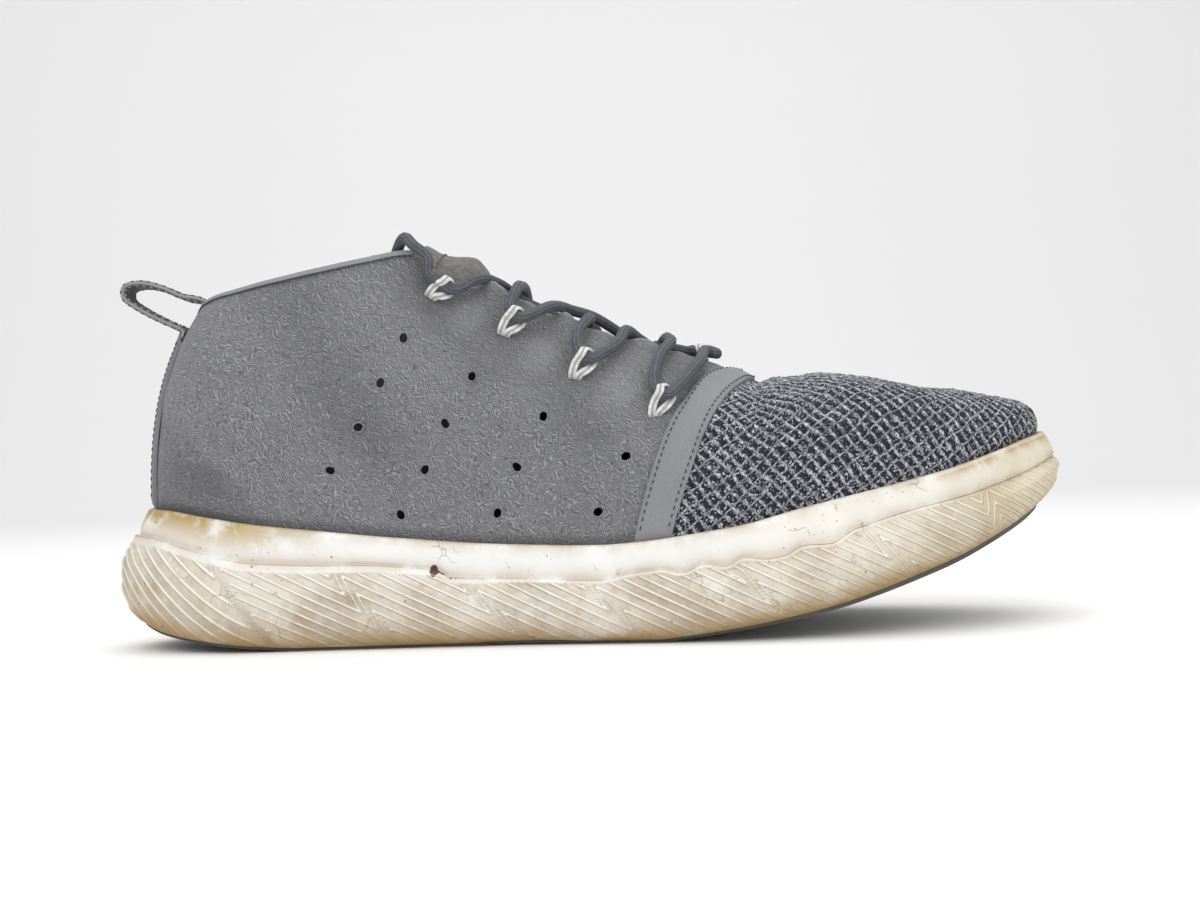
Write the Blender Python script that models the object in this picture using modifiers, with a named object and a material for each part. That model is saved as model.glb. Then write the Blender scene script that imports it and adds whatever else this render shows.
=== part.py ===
"""Worn mid-height sneaker, right foot, standing empty on its sole.

+X runs from heel to toe, +Y to the medial side and +Z up, in metres. The origin is on the floor, under the
middle of the heel's flat spot. Sections hold shares of the named sizes below.
"""

import math

import bmesh
import bpy
from mathutils import Vector

# Overall sizes
LENGTH = 0.300          # sole, heel end to toe tip
BALL_WIDTH = 0.110      # sole across the ball
HEEL_WIDTH = 0.077      # sole across the heel
SOLE_HEIGHT = 0.044     # floor to the top of the rand at the heel
COLLAR_RISE = 0.088     # collar's front corner above the rand
TOE_BOX_RISE = 0.038    # top of the toe box above the rand
HEEL_REST = 0.081       # heel end to the middle of the heel's flat spot

# Walls, clearances and small sizes
WALL = 0.0022           # knit or suede with its lining
GAP = 0.0003            # between pieces that touch
OUTSOLE_THICK = 0.0026
GROOVE_DEPTH = 0.0016
OUTSOLE_INSET = 0.0066  # outsole's edge inside the widest line of the sole
RAND_THICK = 0.0028     # lip of the midsole around the upper
RAND_CUP = 0.0105       # footbed below the top of the rand
RAND_DEPTH = 0.010      # smooth band of the rand, above the ribbed wall
STEP_OUT = 0.0016       # ribbed wall stands out from the rand
RIB_HEIGHT = 0.0009
RIB_SLANT = 0.13        # share of the length that a rib runs while it crosses the wall
INSOLE_THICK = 0.004
BAND_THICK = 0.0013
STAY_THICK = 0.0011
STAY_REACH = 0.008      # stations from the back seam to the strip's edge
STAY_TOP = 0.80         # share of the section where the strip ends
OVERLAY_GAP = 0.0006
OVERLAY_START = 0.014   # share of the section between the rand and the foot of an overlay
TONGUE_THICK = 0.0042
TONGUE_CLEAR = 0.0009   # between the tongue and the wall above it
TONGUE_BULGE = 0.0036   # tongue's middle above a line between the throat's edges, where its share is 1
LACE_DIAMETER = 0.0035
LACE_FACET = 0.0058      # length of the lace's facets
LOOP_CORD = 0.0018
LOOP_SLACK = 0.0004     # clearance between a loop and the lace in it
TAB_REACH = 0.0234      # pull tab's tip behind the collar
TAB_WIDTH = 0.014
TAB_THICK = 0.0015
TAB_CURL = 0.0020       # strap's edges forward of its middle where it lies on the heel

# Counts
SOLE_STATIONS = 72
UPPER_STATIONS = 34
CLOSE_STATIONS = 9      # where the throat closes
WALL_ROWS = 9
LUG_PERIOD = 3          # sole stations from one lug to the next
GROOVE_STATIONS = 1

SIDES = (-1, 1)         # lateral, medial

# Sole outline: station along the length, lateral and medial half width as shares of the local width
OUTLINE = (
    (0.00, 0.000, 0.000), (0.03, 0.286, 0.276), (0.08, 0.420, 0.408), (0.15, 0.487, 0.480),
    (0.25, 0.485, 0.478), (0.35, 0.458, 0.432), (0.45, 0.440, 0.396), (0.55, 0.453, 0.405),
    (0.63, 0.480, 0.448), (0.70, 0.488, 0.491), (0.77, 0.470, 0.504), (0.84, 0.420, 0.480),
    (0.91, 0.320, 0.397), (0.96, 0.196, 0.286), (1.00, -0.062, 0.062),
)
BALL_BLEND = ((0.0, 0.0), (0.2, 0.0), (0.65, 1.0), (1.0, 1.0))

# Heights of the sole, as shares of its height
TREAD_Z = (
    (0.00, 0.195), (0.03, 0.168), (0.056, 0.118), (0.10, 0.064), (0.14, 0.030), (0.18, 0.008),
    (0.205, 0.0), (0.37, 0.0),
    (0.40, 0.007), (0.44, 0.009), (0.475, 0.004), (0.49, 0.0), (0.56, 0.0), (0.585, 0.018),
    (0.62, 0.050), (0.66, 0.091), (0.70, 0.140), (0.74, 0.197), (0.78, 0.275), (0.82, 0.362),
    (0.864, 0.464), (0.907, 0.586), (0.945, 0.700), (0.975, 0.800), (1.00, 0.870),
)
RAND_Z = (
    (0.00, 1.010), (0.06, 0.990), (0.107, 0.936), (0.157, 0.877), (0.207, 0.832), (0.307, 0.752),
    (0.407, 0.691), (0.507, 0.666), (0.547, 0.682), (0.605, 0.732), (0.653, 0.786), (0.70, 0.868),
    (0.753, 0.948), (0.803, 1.020), (0.857, 1.102), (0.91, 1.205), (0.95, 1.285), (1.00, 1.360),
)
# Depth of the rand's smooth band on each side, as shares of RAND_DEPTH: flat at the heel, wavy under the ball
BAND_LATERAL = (
    (0.00, 0.85), (0.048, 0.90), (0.08, 1.05), (0.111, 1.15), (0.143, 1.20), (0.20, 1.12), (0.295, 0.90),
    (0.343, 0.90), (0.356, 1.10), (0.438, 1.03), (0.505, 1.07), (0.535, 0.93), (0.563, 0.90), (0.588, 1.10),
    (0.607, 0.95), (0.629, 1.12), (0.645, 0.98), (0.67, 1.20), (0.687, 1.25), (0.703, 1.12), (0.733, 1.26),
    (0.757, 1.02), (0.827, 0.90), (0.887, 0.98), (0.928, 1.00), (0.987, 0.80), (1.00, 0.75),
)
BAND_MEDIAL = (
    (0.00, 0.85), (0.12, 0.97), (0.245, 1.04), (0.37, 0.90), (0.494, 0.82), (0.545, 0.80), (0.569, 0.97),
    (0.596, 0.75), (0.616, 0.94), (0.643, 0.72), (0.657, 0.89), (0.671, 0.72), (0.70, 0.92), (0.728, 0.75),
    (0.752, 0.97), (0.779, 0.70), (0.796, 0.90), (0.823, 0.55), (0.857, 0.52), (0.95, 0.60), (1.00, 0.75),
)
# Ribbed wall: share of its height, and how far inside the widest line, as a share of OUTSOLE_INSET
WALL_PROFILE = ((0.0, 0.86), (0.10, 0.44), (0.38, 0.02), (0.66, 0.06), (0.90, 0.46))
WALL_TOP_INSET = 0.66

# Upper's outline inside the widest line of the sole, as a share of the heel width
UPPER_INSET = ((0.00, 0.150), (0.10, 0.130), (0.30, 0.110), (0.60, 0.104), (0.90, 0.092), (1.00, 0.086))

# Top line of each section. Station, x, lateral y and medial y as shares of the length, rise above the rand as
# shares of the collar's and the toe box's rise, sweep of the arch in degrees, and bulge as a share of WALL
TOP = (
    (0.000, 0.090, 0.000, 0.000, 0.700, 0.00, 50, 0.0),
    (0.030, 0.103, -0.032, 0.032, 0.732, 0.00, 50, 0.2),
    (0.080, 0.132, -0.064, 0.064, 0.775, 0.00, 48, 0.5),
    (0.150, 0.176, -0.086, 0.086, 0.838, 0.00, 46, 0.9),
    (0.220, 0.230, -0.094, 0.095, 0.905, 0.00, 46, 1.2),
    (0.280, 0.280, -0.090, 0.094, 0.962, 0.00, 48, 1.4),
    (0.325, 0.325, -0.079, 0.086, 1.000, 0.00, 52, 1.5),
    (0.360, 0.358, -0.068, 0.078, 0.906, 0.00, 56, 1.6),
    (0.410, 0.409, -0.058, 0.071, 0.890, 0.00, 60, 1.7),
    (0.455, 0.456, -0.054, 0.067, 0.812, 0.00, 62, 1.8),
    (0.500, 0.504, -0.048, 0.062, 0.752, 0.00, 64, 1.8),
    (0.550, 0.560, -0.038, 0.054, 0.674, 0.00, 68, 1.8),
    (0.585, 0.600, -0.022, 0.040, 0.625, 0.00, 74, 1.8),
    (0.610, 0.628, 0.009, 0.009, 0.520, 0.17, 80, 1.8),
    (0.650, 0.666, 0.010, 0.010, 0.240, 0.63, 84, 1.8),
    (0.672, 0.684, 0.010, 0.010, 0.100, 0.84, 86, 1.8),
    (0.695, 0.702, 0.010, 0.010, 0.020, 1.02, 87, 1.9),
    (0.740, 0.733, 0.011, 0.011, 0.000, 1.00, 88, 1.9),
    (0.800, 0.776, 0.012, 0.012, 0.000, 0.87, 88, 1.8),
    (0.860, 0.812, 0.013, 0.013, 0.000, 0.72, 88, 1.6),
    (0.920, 0.843, 0.015, 0.015, 0.000, 0.55, 86, 1.3),
    (0.960, 0.860, 0.016, 0.016, 0.000, 0.46, 84, 1.1),
    (1.000, 0.872, 0.017, 0.017, 0.000, 0.37, 82, 0.9),
)
THROAT_TOP = 0.325      # station of the collar's front corner
THROAT_END = 0.610      # station where the throat closes
ARCH_POWER = 2.3        # 2 is an ellipse, more is boxier
RAND_ROW = 0.1          # share of a section's rows that stands inside the rand

# Smooth leather band over the vamp: share of the section, station of its rear edge and width in stations
BAND_LATERAL_LINE = ((0.0, 0.536, 0.036), (0.4, 0.572, 0.040), (0.7, 0.606, 0.036), (1.0, 0.645, 0.019))
BAND_MEDIAL_LINE = ((0.0, 0.580, 0.036), (0.4, 0.604, 0.038), (0.7, 0.624, 0.034), (1.0, 0.645, 0.019))

# Lace loops: where each leaves the suede, as station and share of the section, from the toe to the collar
LOOPS = {
    "lateral_1": (-1, 0.562, 0.54), "lateral_2": (-1, 0.486, 0.67),
    "lateral_3": (-1, 0.417, 0.76), "lateral_4": (-1, 0.345, 0.86),
    "medial_1": (1, 0.596, 0.87), "medial_2": (1, 0.543, 0.88),
    "medial_3": (1, 0.482, 0.89), "medial_4": (1, 0.412, 0.89),
}
LOOP_LEAN = 0.010       # stations from a loop's foot forward to the lace in it
LOOP_REACH = 0.052      # share of the section from a loop's foot up to the lace in it
LOOP_SPREAD = 0.0012    # half the distance between a loop's feet

# Order of the loops along the lace, and whether the lace leaves each one towards the toe or the heel
LACE_RUN = (
    ("lateral_4", 1), ("medial_3", 1), ("lateral_2", 1), ("medial_1", 1),
    ("lateral_1", -1), ("medial_2", -1), ("lateral_3", -1), ("medial_4", -1),
)
LACE_STRAIGHT = 0.0022  # straight run of the lace to each side of a loop
LACE_TURN = (0.0042, 0.0014)    # and from there, along and up, to where it has turned to the throat
LACE_STUB = 0.0050      # from the lace in the top loops to where its free ends begin
LACE_EDGE = 0.0034      # middle of the lace above the edges of the throat
# Middle of each strand above the line between those edges: three below, one over the vamp, three over them
LACE_MIDDLE = (0.0010, 0.0010, 0.0010, 0.0030, 0.0050, 0.0050, 0.0050)
# Stations from a loop to where its strand meets the throat's edge, by side and whether it leaves to the toe
LACE_SWING = {(-1, 1): 0.034, (-1, -1): 0.0, (1, 1): 0.012, (1, -1): -0.016}
DECK_NORMAL = Vector((0.33, 0.0, 0.944))

# Free ends of the lace: side, station, share of the section and lift, from the top loop over the edge
END_LATERAL = (
    (0.334, 0.958, 0.0050), (0.324, 1.000, 0.0046), (0.318, 1.040, 0.0012), (0.312, 1.000, -0.0056),
    (0.309, 0.940, -0.0062), (0.306, 0.860, -0.0062), (0.304, 0.780, -0.0062),
)
END_MEDIAL = (
    (0.395, 0.985, 0.0056), (0.365, 1.000, 0.0062), (0.338, 1.000, 0.0044), (0.322, 1.030, 0.0012),
    (0.314, 1.000, -0.0050), (0.311, 0.930, -0.0056), (0.308, 0.850, -0.0056),
)

# Tongue's bulge along the throat, as a share of TONGUE_BULGE
# It stands up at its free end, and the lace presses it down below
TONGUE_RISE = (
    (0.325, 0.5), (0.345, 1.5), (0.360, 2.3), (0.375, 2.5), (0.390, 1.7), (0.405, 0.3), (0.42, -0.5),
    (0.44, -0.6), (0.62, -0.6),
)
TONGUE_EXTRA = (0.366, 0.380, 0.393, 0.407)     # stations between those that it shares with the wall

# Pull tab between its two fixed ends, as shares of its reach from the top of the back seam
TAB_LINE = (
    (-0.25, -0.23), (-0.53, -0.08), (-0.82, 0.10), (-0.97, 0.23), (-0.96, 0.37), (-0.76, 0.42), (-0.47, 0.35),
    (-0.20, 0.22), (-0.01, 0.18), (0.12, 0.11), (0.19, 0.00),
)

COLOURS = {
    "midsole": ((0.80, 0.76, 0.66), 0.55),
    "outsole": ((0.13, 0.12, 0.115), 0.75),
    "suede": ((0.17, 0.175, 0.19), 0.95),
    "band": ((0.24, 0.245, 0.26), 0.7),
    "tongue": ((0.16, 0.16, 0.17), 0.95),
    "insole": ((0.20, 0.20, 0.21), 0.95),
    "lace": ((0.10, 0.105, 0.12), 0.8),
    "loop": ((0.70, 0.70, 0.69), 0.7),
    "tab": ((0.20, 0.205, 0.215), 0.85),
}


def clear_scene():
    for old in list(bpy.data.objects):
        bpy.data.objects.remove(old)


def through(table, s, column=1):
    """The value at s of a smooth curve through a table's rows, without overshoot between them."""
    xs = [row[0] for row in table]
    ys = [row[column] for row in table]
    s = min(max(s, xs[0]), xs[-1])
    k = max(i for i in range(len(xs) - 1) if xs[i] <= s)
    steps = [xs[i + 1] - xs[i] for i in range(len(xs) - 1)]
    slopes = [(ys[i + 1] - ys[i]) / steps[i] for i in range(len(xs) - 1)]

    def tangent(i):
        if i == 0:
            return slopes[0]
        if i == len(xs) - 1:
            return slopes[-1]
        before, after = slopes[i - 1], slopes[i]
        if before * after <= 0:
            return 0.0
        return 2 * before * after / (before + after)

    t = (s - xs[k]) / steps[k]
    h00 = 2 * t**3 - 3 * t**2 + 1
    h01 = 3 * t**2 - 2 * t**3
    h10 = t**3 - 2 * t**2 + t
    h11 = t**3 - t**2
    return h00 * ys[k] + h01 * ys[k + 1] + steps[k] * (h10 * tangent(k) + h11 * tangent(k + 1))


def local_width(s):
    return HEEL_WIDTH + (BALL_WIDTH - HEEL_WIDTH) * through(BALL_BLEND, s)


def round_table(column):
    """The outline's half widths against the angle that makes both ends round."""
    return tuple((math.acos(1 - 2 * row[0]), row[column]) for row in OUTLINE)


HALF_WIDTH = {-1: round_table(1), 1: round_table(2)}


def outline(side, s):
    """Point of the widest line of the sole, in plan, with x from the heel end."""
    s = min(max(s, 0.0), 1.0)
    half = through(HALF_WIDTH[side], math.acos(1 - 2 * s)) * local_width(s)
    return Vector((s * LENGTH, side * half))


def outward(side, s):
    """Unit normal of the outline in plan, pointing out of the shoe."""
    if s < 1e-6:
        return Vector((-1.0, 0.0))
    if s > 1 - 1e-6:
        return Vector((1.0, 0.0))
    step = min(0.004, 0.5 * s, 0.5 * (1 - s))
    along = outline(side, s + step) - outline(side, s - step)
    return Vector((side * -along.y, side * along.x)).normalized()


def inset_point(side, s, inset):
    return outline(side, s) - outward(side, s) * inset


def tread_z(x):
    return through(TREAD_Z, x / LENGTH) * SOLE_HEIGHT


def rand_z(x):
    return through(RAND_Z, x / LENGTH) * SOLE_HEIGHT


def bed_z(x):
    return rand_z(x) - RAND_CUP


def step_z(side, x):
    table = BAND_LATERAL if side < 0 else BAND_MEDIAL
    return rand_z(x) - through(table, x / LENGTH) * RAND_DEPTH


def upper_inset(s):
    return through(UPPER_INSET, s) * HEEL_WIDTH


def place(x, y, z):
    """From the heel end's frame to the part's own."""
    return Vector((x - HEEL_REST, y, z))


def spaced(k, count):
    """Station k of count, closer together at both round ends."""
    t = k / count
    return 0.5 * t + 0.25 * (1 - math.cos(math.pi * t))


def upper_point(side, s, v):
    """Point of the upper's outer face. v is 0 at the footbed and 1 at the top line or the ridge."""
    foot = inset_point(side, s, upper_inset(s))
    low = bed_z(foot.x) + GAP
    rand = rand_z(foot.x)
    if v <= RAND_ROW:
        return place(foot.x, foot.y, low + (rand - low) * v / RAND_ROW)
    share = (v - RAND_ROW) / (1 - RAND_ROW)
    top_y = through(TOP, s, 2 if side < 0 else 3) * LENGTH
    top = Vector((through(TOP, s, 1) * LENGTH, top_y))
    rise = through(TOP, s, 4) * COLLAR_RISE + through(TOP, s, 5) * TOE_BOX_RISE
    sweep = math.radians(through(TOP, s, 6))
    angle = share * sweep
    in_share = (1 - math.cos(angle) ** (2 / ARCH_POWER)) / (1 - math.cos(sweep) ** (2 / ARCH_POWER))
    up_share = (math.sin(angle) / math.sin(sweep)) ** (2 / ARCH_POWER)
    bulge = through(TOP, s, 7) * WALL * math.sin(math.pi * share) ** 2
    flat = foot + (top - foot) * in_share + outward(side, s) * bulge
    return place(flat.x, flat.y, rand + rise * up_share)


def upper_normal(side, s, v):
    """Unit normal of the upper's outer face."""
    ds, dv = 0.004, 0.01
    s0, s1 = max(s - ds, 0.0), min(s + ds, 1.0)
    v0, v1 = max(v - dv, 0.0), min(v + dv, 1.0)
    along = upper_point(side, s1, v) - upper_point(side, s0, v)
    up = upper_point(side, s, v1) - upper_point(side, s, v0)
    return (along.cross(up) * -side).normalized()


def above(side, s, v, lift):
    return upper_point(side, s, v) + upper_normal(side, s, v) * lift


def upper_stations():
    """Stations of the upper's sections, closer together at both ends and where the throat closes."""
    even = [spaced(k, UPPER_STATIONS) for k in range(UPPER_STATIONS + 1)]
    low, high = THROAT_END - 0.01, THROAT_END + 0.09
    close = [low + (high - low) * k / CLOSE_STATIONS for k in range(CLOSE_STATIONS + 1)]
    corner = [THROAT_TOP + 0.016 * k for k in range(3)]
    clear = [s for s in even if not low - 0.006 < s < high + 0.006]
    return sorted([s for s in clear if min(abs(s - c) for c in corner) > 0.01] + close + corner)


def wall_rows():
    """Rows of a section above the rand, which the overlays share so that their facets match the wall's."""
    return [RAND_ROW + (1 - RAND_ROW) * j / WALL_ROWS for j in range(WALL_ROWS + 1)]


def material(name):
    found = bpy.data.materials.get(name)
    if found:
        return found
    made = bpy.data.materials.new(name)
    made.use_nodes = True
    shader = made.node_tree.nodes["Principled BSDF"]
    colour, roughness = COLOURS[name]
    shader.inputs["Base Color"].default_value = (*colour, 1.0)
    shader.inputs["Roughness"].default_value = roughness
    shader.inputs["Metallic"].default_value = 0.0
    made.diffuse_color = (*colour, 1.0)
    return made


def add_object(name, mesh, collection, finish):
    made = bpy.data.objects.new(name, mesh)
    mesh.materials.append(material(finish))
    collection.objects.link(made)
    return made


def mesh_from(name, bm):
    bmesh.ops.recalc_face_normals(bm, faces=bm.faces)
    mesh = bpy.data.meshes.new(name)
    bm.to_mesh(mesh)
    bm.free()
    mesh.shade_smooth()
    mesh.set_sharp_from_angle(angle=math.radians(40))
    return mesh


def join_rings(bm, rings, closed=True):
    """Quads between neighbouring rings of vertices."""
    count = len(rings[0])
    last = count if closed else count - 1
    for low, high in zip(rings, rings[1:]):
        for i in range(last):
            j = (i + 1) % count
            bm.faces.new((low[i], low[j], high[j], high[i]))


def cap_ring(bm, ring):
    """Closes a ring of the sole with strips from the lateral to the medial side."""
    half = len(ring) // 2
    bm.faces.new((ring[0], ring[1], ring[-1]))
    for i in range(1, half - 1):
        bm.faces.new((ring[i], ring[i + 1], ring[-i - 1], ring[-i]))
    bm.faces.new((ring[half - 1], ring[half], ring[half + 1]))


def sole_ring(bm, inset, height, stations=SOLE_STATIONS, shift=0.0, pleat=0.0):
    """A closed ring around the sole: heel, lateral side, toe, medial side. inset is a function of side and
    station, and height of side and x. A shift slides the points towards the toe, and a pleat moves every
    second one out."""
    ring = []
    around = [(-1, k) for k in range(stations)] + [(1, k) for k in range(stations, 0, -1)]
    for side, k in around:
        t = spaced(k, stations)
        s = min(t + shift * math.sin(math.pi * t), 1.0)
        out = pleat * (0.5 if k % 2 else -0.5) * min(1.0, 8 * math.sin(math.pi * t))
        flat = inset_point(side, s, inset(side, s) - out)
        ring.append(bm.verts.new(place(flat.x, flat.y, height(side, flat.x))))
    return ring


def build_outsole(collection):
    """Thin rubber with V-shaped lugs that point to the toe."""
    bm = bmesh.new()

    def edge(side, s):
        return OUTSOLE_INSET

    def top(side, x):
        return tread_z(x) + OUTSOLE_THICK

    def groove_floor(side, x):
        return tread_z(x) + GROOVE_DEPTH

    upper_ring = sole_ring(bm, edge, top)
    lower_ring = sole_ring(bm, edge, groove_floor)
    join_rings(bm, [lower_ring, upper_ring])
    cap_ring(bm, upper_ring)
    middle = [None] * (SOLE_STATIONS + 1)
    ahead = 3
    for k in range(1, SOLE_STATIONS):
        reach = min(k + ahead * min(1.0, 4 * math.sin(math.pi * k / SOLE_STATIONS)), SOLE_STATIONS - 0.5)
        s = spaced(reach, SOLE_STATIONS)
        left = inset_point(-1, s, OUTSOLE_INSET)
        right = inset_point(1, s, OUTSOLE_INSET)
        flat = (left + right) / 2
        middle[k] = bm.verts.new(place(flat.x, flat.y, groove_floor(1, flat.x)))
    lugs = []
    for k in range(SOLE_STATIONS):
        lateral = (lower_ring[k], lower_ring[k + 1])
        medial = (lower_ring[-k] if k else lower_ring[0], lower_ring[-k - 1])
        for near, far in (lateral, medial):
            inner = [v for v in (middle[k + 1], middle[k]) if v is not None]
            face = bm.faces.new([near, far] + inner)
            if k % LUG_PERIOD >= GROOVE_STATIONS:
                lugs.append(face)
    bmesh.ops.recalc_face_normals(bm, faces=bm.faces)
    made = bmesh.ops.extrude_face_region(bm, geom=lugs)
    for vert in {v for v in made["geom"] if isinstance(v, bmesh.types.BMVert)}:
        vert.co.z -= GROOVE_DEPTH
    bmesh.ops.delete(bm, geom=lugs, context="FACES")
    return add_object("outsole", mesh_from("outsole", bm), collection, "outsole")


def build_midsole(collection):
    """White foam: slanting ribs around the wall, a step, and a smooth rand that cups the upper."""
    bm = bmesh.new()
    rings = []
    for q, share in WALL_PROFILE:
        ribbed = RIB_HEIGHT if q > 0 else 0.0

        def height(side, x, q=q):
            low = tread_z(x) + OUTSOLE_THICK + GAP
            return low + (step_z(side, x) - low) * q

        def inset(side, s, share=share):
            return share * OUTSOLE_INSET

        rings.append(sole_ring(bm, inset, height, shift=RIB_SLANT * (1 - q), pleat=ribbed))

    def wall_top(side, s):
        return WALL_TOP_INSET * OUTSOLE_INSET

    def rand_inner(side, s):
        return upper_inset(s) - GAP

    def rand_outer(side, s):
        return rand_inner(side, s) - RAND_THICK

    def rand_foot(side, s):
        return min(wall_top(side, s) + STEP_OUT, rand_outer(side, s))

    rings.append(sole_ring(bm, wall_top, step_z))
    rings.append(sole_ring(bm, rand_foot, step_z))
    rings.append(sole_ring(bm, rand_outer, lambda side, x: rand_z(x) - RAND_THICK / 2))

    def lip(side, s):
        return rand_inner(side, s) - RAND_THICK * 0.7

    rings.append(sole_ring(bm, lip, lambda side, x: rand_z(x)))
    rings.append(sole_ring(bm, rand_inner, lambda side, x: rand_z(x)))
    rings.append(sole_ring(bm, rand_inner, lambda side, x: bed_z(x)))
    join_rings(bm, rings)
    cap_ring(bm, rings[0])
    cap_ring(bm, rings[-1])
    return add_object("midsole", mesh_from("midsole", bm), collection, "midsole")


def build_upper(collection):
    """Knit toe and suede quarters as one hollow wall, open at the collar, the throat and underneath."""
    bm = bmesh.new()
    grids = {}
    for side in SIDES:
        grid = []
        for s in upper_stations():
            grid.append([bm.verts.new(upper_point(side, s, v)) for v in [0.0] + wall_rows()])
        grids[side] = grid
        join_rings(bm, grid, closed=False)
    bmesh.ops.remove_doubles(bm, verts=bm.verts, dist=1e-6)
    mesh = mesh_from("upper", bm)
    made = add_object("upper", mesh, collection, "suede")
    shell = made.modifiers.new("wall", "SOLIDIFY")
    shell.thickness = WALL
    shell.offset = -1.0
    shell.use_even_offset = True
    return made


def overlay(name, collection, finish, rows, thick):
    """A closed strip of even thickness over the upper. Each row lists sides, stations and shares of the
    section across the strip."""
    bm = bmesh.new()
    rings = []
    for row in rows:
        under = [bm.verts.new(above(*spot, OVERLAY_GAP)) for spot in row]
        over = [bm.verts.new(above(*spot, OVERLAY_GAP + thick)) for spot in row]
        rings.append(under + over[::-1])
    join_rings(bm, rings)
    bm.faces.new(rings[0])
    bm.faces.new(rings[-1][::-1])
    return add_object(name, mesh_from(name, bm), collection, finish)


def build_band(collection):
    """Smooth leather band between the knit toe and the suede, from rand to rand."""
    climbs = [RAND_ROW + OVERLAY_START] + wall_rows()[1:]
    rows = []
    for side, line, shares in ((-1, BAND_LATERAL_LINE, climbs), (1, BAND_MEDIAL_LINE, climbs[-2::-1])):
        for v in shares:
            climb = (v - RAND_ROW) / (1 - RAND_ROW)
            rear, width = through(line, climb), through(line, climb, 2)
            rows.append([(side, rear + width * across / 3, v) for across in range(4)])
    return overlay("vamp_band", collection, "band", rows, BAND_THICK)


def build_heel_stay(collection):
    """Strip down the back seam."""
    climbs = [RAND_ROW + OVERLAY_START] + [v for v in wall_rows()[1:] if v < STAY_TOP]
    rows = []
    reaches = [STAY_REACH * k / 3 for k in range(-3, 4)]
    for v in climbs:
        rows.append([(-1 if reach < 0 else 1, abs(reach), v) for reach in reaches])
    return overlay("heel_stay", collection, "band", rows, STAY_THICK)


def tongue_top(s, w):
    """Point of the tongue's outer face. w is -1 at the lateral throat edge and 1 at the medial one."""
    under = WALL + TONGUE_CLEAR
    flat = above(-1, s, 1.0, -under).lerp(above(1, s, 1.0, -under), (w + 1) / 2)
    rise = TONGUE_BULGE * through(TONGUE_RISE, s) + under * min(1.0, max(0.0, (THROAT_END - s) / 0.06))
    return flat + DECK_NORMAL * rise * (1 - w * w)


def build_tongue(collection):
    """Padded tongue below the throat, a little above the collar at its top end."""
    bm = bmesh.new()
    rings = []
    under = WALL + TONGUE_CLEAR
    hidden = wall_rows()[-3:-1]
    clear = [s for s in upper_stations() if THROAT_TOP + 0.01 < s < THROAT_END - 0.013]
    clear = [s for s in clear if min(abs(s - extra) for extra in TONGUE_EXTRA) > 0.008]
    for s in sorted([THROAT_TOP + 0.008] + clear + list(TONGUE_EXTRA)):
        outer = [above(-1, s, v, -under) for v in hidden]
        outer += [tongue_top(s, w) for w in (-1, -0.6, -0.2, 0.2, 0.6, 1)]
        outer += [above(1, s, v, -under) for v in reversed(hidden)]
        inner = []
        for p in outer:
            narrower = Vector((0, -0.35 * p.y * TONGUE_THICK / 0.02, 0))
            inner.append(p - DECK_NORMAL * TONGUE_THICK + narrower)
        rings.append([bm.verts.new(p) for p in outer + inner[::-1]])
    join_rings(bm, rings)
    bm.faces.new(rings[0])
    bm.faces.new(rings[-1][::-1])
    return add_object("tongue", mesh_from("tongue", bm), collection, "tongue")


def smooth_path(points, step):
    """Points along a curve through the given ones, about a step apart."""
    ends = [points[0] * 2 - points[1]] + points + [points[-1] * 2 - points[-2]]
    path = []
    for a, b, c, d in zip(ends, ends[1:], ends[2:], ends[3:]):
        ta, tb = (c - b).length ** 0.5, (b - a).length ** 0.5 or 1e-4
        tc = (d - c).length ** 0.5 or 1e-4
        left = ((b - a) / tb - (c - a) / (tb + ta) + (c - b) / ta) * ta
        right = ((c - b) / ta - (d - b) / (ta + tc) + (d - c) / tc) * ta
        count = max(1, round((c - b).length / step))
        for i in range(count):
            u = i / count
            path.append(
                b * (2 * u**3 - 3 * u**2 + 1) + left * (u**3 - 2 * u**2 + u)
                + c * (3 * u**2 - 2 * u**3) + right * (u**3 - u**2)
            )
    return path + [points[-1]]


def build_cord(name, collection, finish, path, radius, sides):
    """A round cord along a path, with flat ends."""
    bm = bmesh.new()
    rings = []
    along = (path[1] - path[0]).normalized()
    across = along.cross(Vector((0.3, 0.5, 0.81))).normalized()
    for i, p in enumerate(path):
        before, after = path[max(i - 1, 0)], path[min(i + 1, len(path) - 1)]
        along = (after - before).normalized()
        across = (across - along * across.dot(along)).normalized()
        other = along.cross(across)
        ring = []
        for k in range(sides):
            angle = 2 * math.pi * k / sides
            ring.append(bm.verts.new(p + (across * math.cos(angle) + other * math.sin(angle)) * radius))
        rings.append(ring)
    join_rings(bm, rings)
    bm.faces.new(rings[0])
    bm.faces.new(rings[-1][::-1])
    return add_object(name, mesh_from(name, bm), collection, finish)


def lace_height():
    """Middle of the lace above the suede inside a loop, with one strand of the loop under it."""
    return 2 * GAP + LOOP_CORD + LOOP_SLACK + LACE_DIAMETER / 2


def loop_forward(name):
    """Unit direction of the lace in a loop, towards the toe."""
    side, s, v = LOOPS[name]
    ends = [above(side, s + LOOP_LEAN + along, v + LOOP_REACH, lace_height()) for along in (-0.012, 0.012)]
    return (ends[1] - ends[0]).normalized()


def loop_axes(name):
    """Unit directions in a loop: along the lace to the toe, up to the throat, and away from the suede."""
    side, s, v = LOOPS[name]
    forward = loop_forward(name)
    up = forward.cross(upper_normal(side, s + LOOP_LEAN, v + LOOP_REACH)).normalized() * side
    return forward, up, up.cross(forward).normalized() * side


def loop_seat(name, along=0.0, climb=0.0):
    """Middle of the lace in a loop, or distances from it along the lace and up to the throat."""
    side, s, v = LOOPS[name]
    forward, up, _ = loop_axes(name)
    return above(side, s + LOOP_LEAN, v + LOOP_REACH, lace_height()) + forward * along + up * climb


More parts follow.
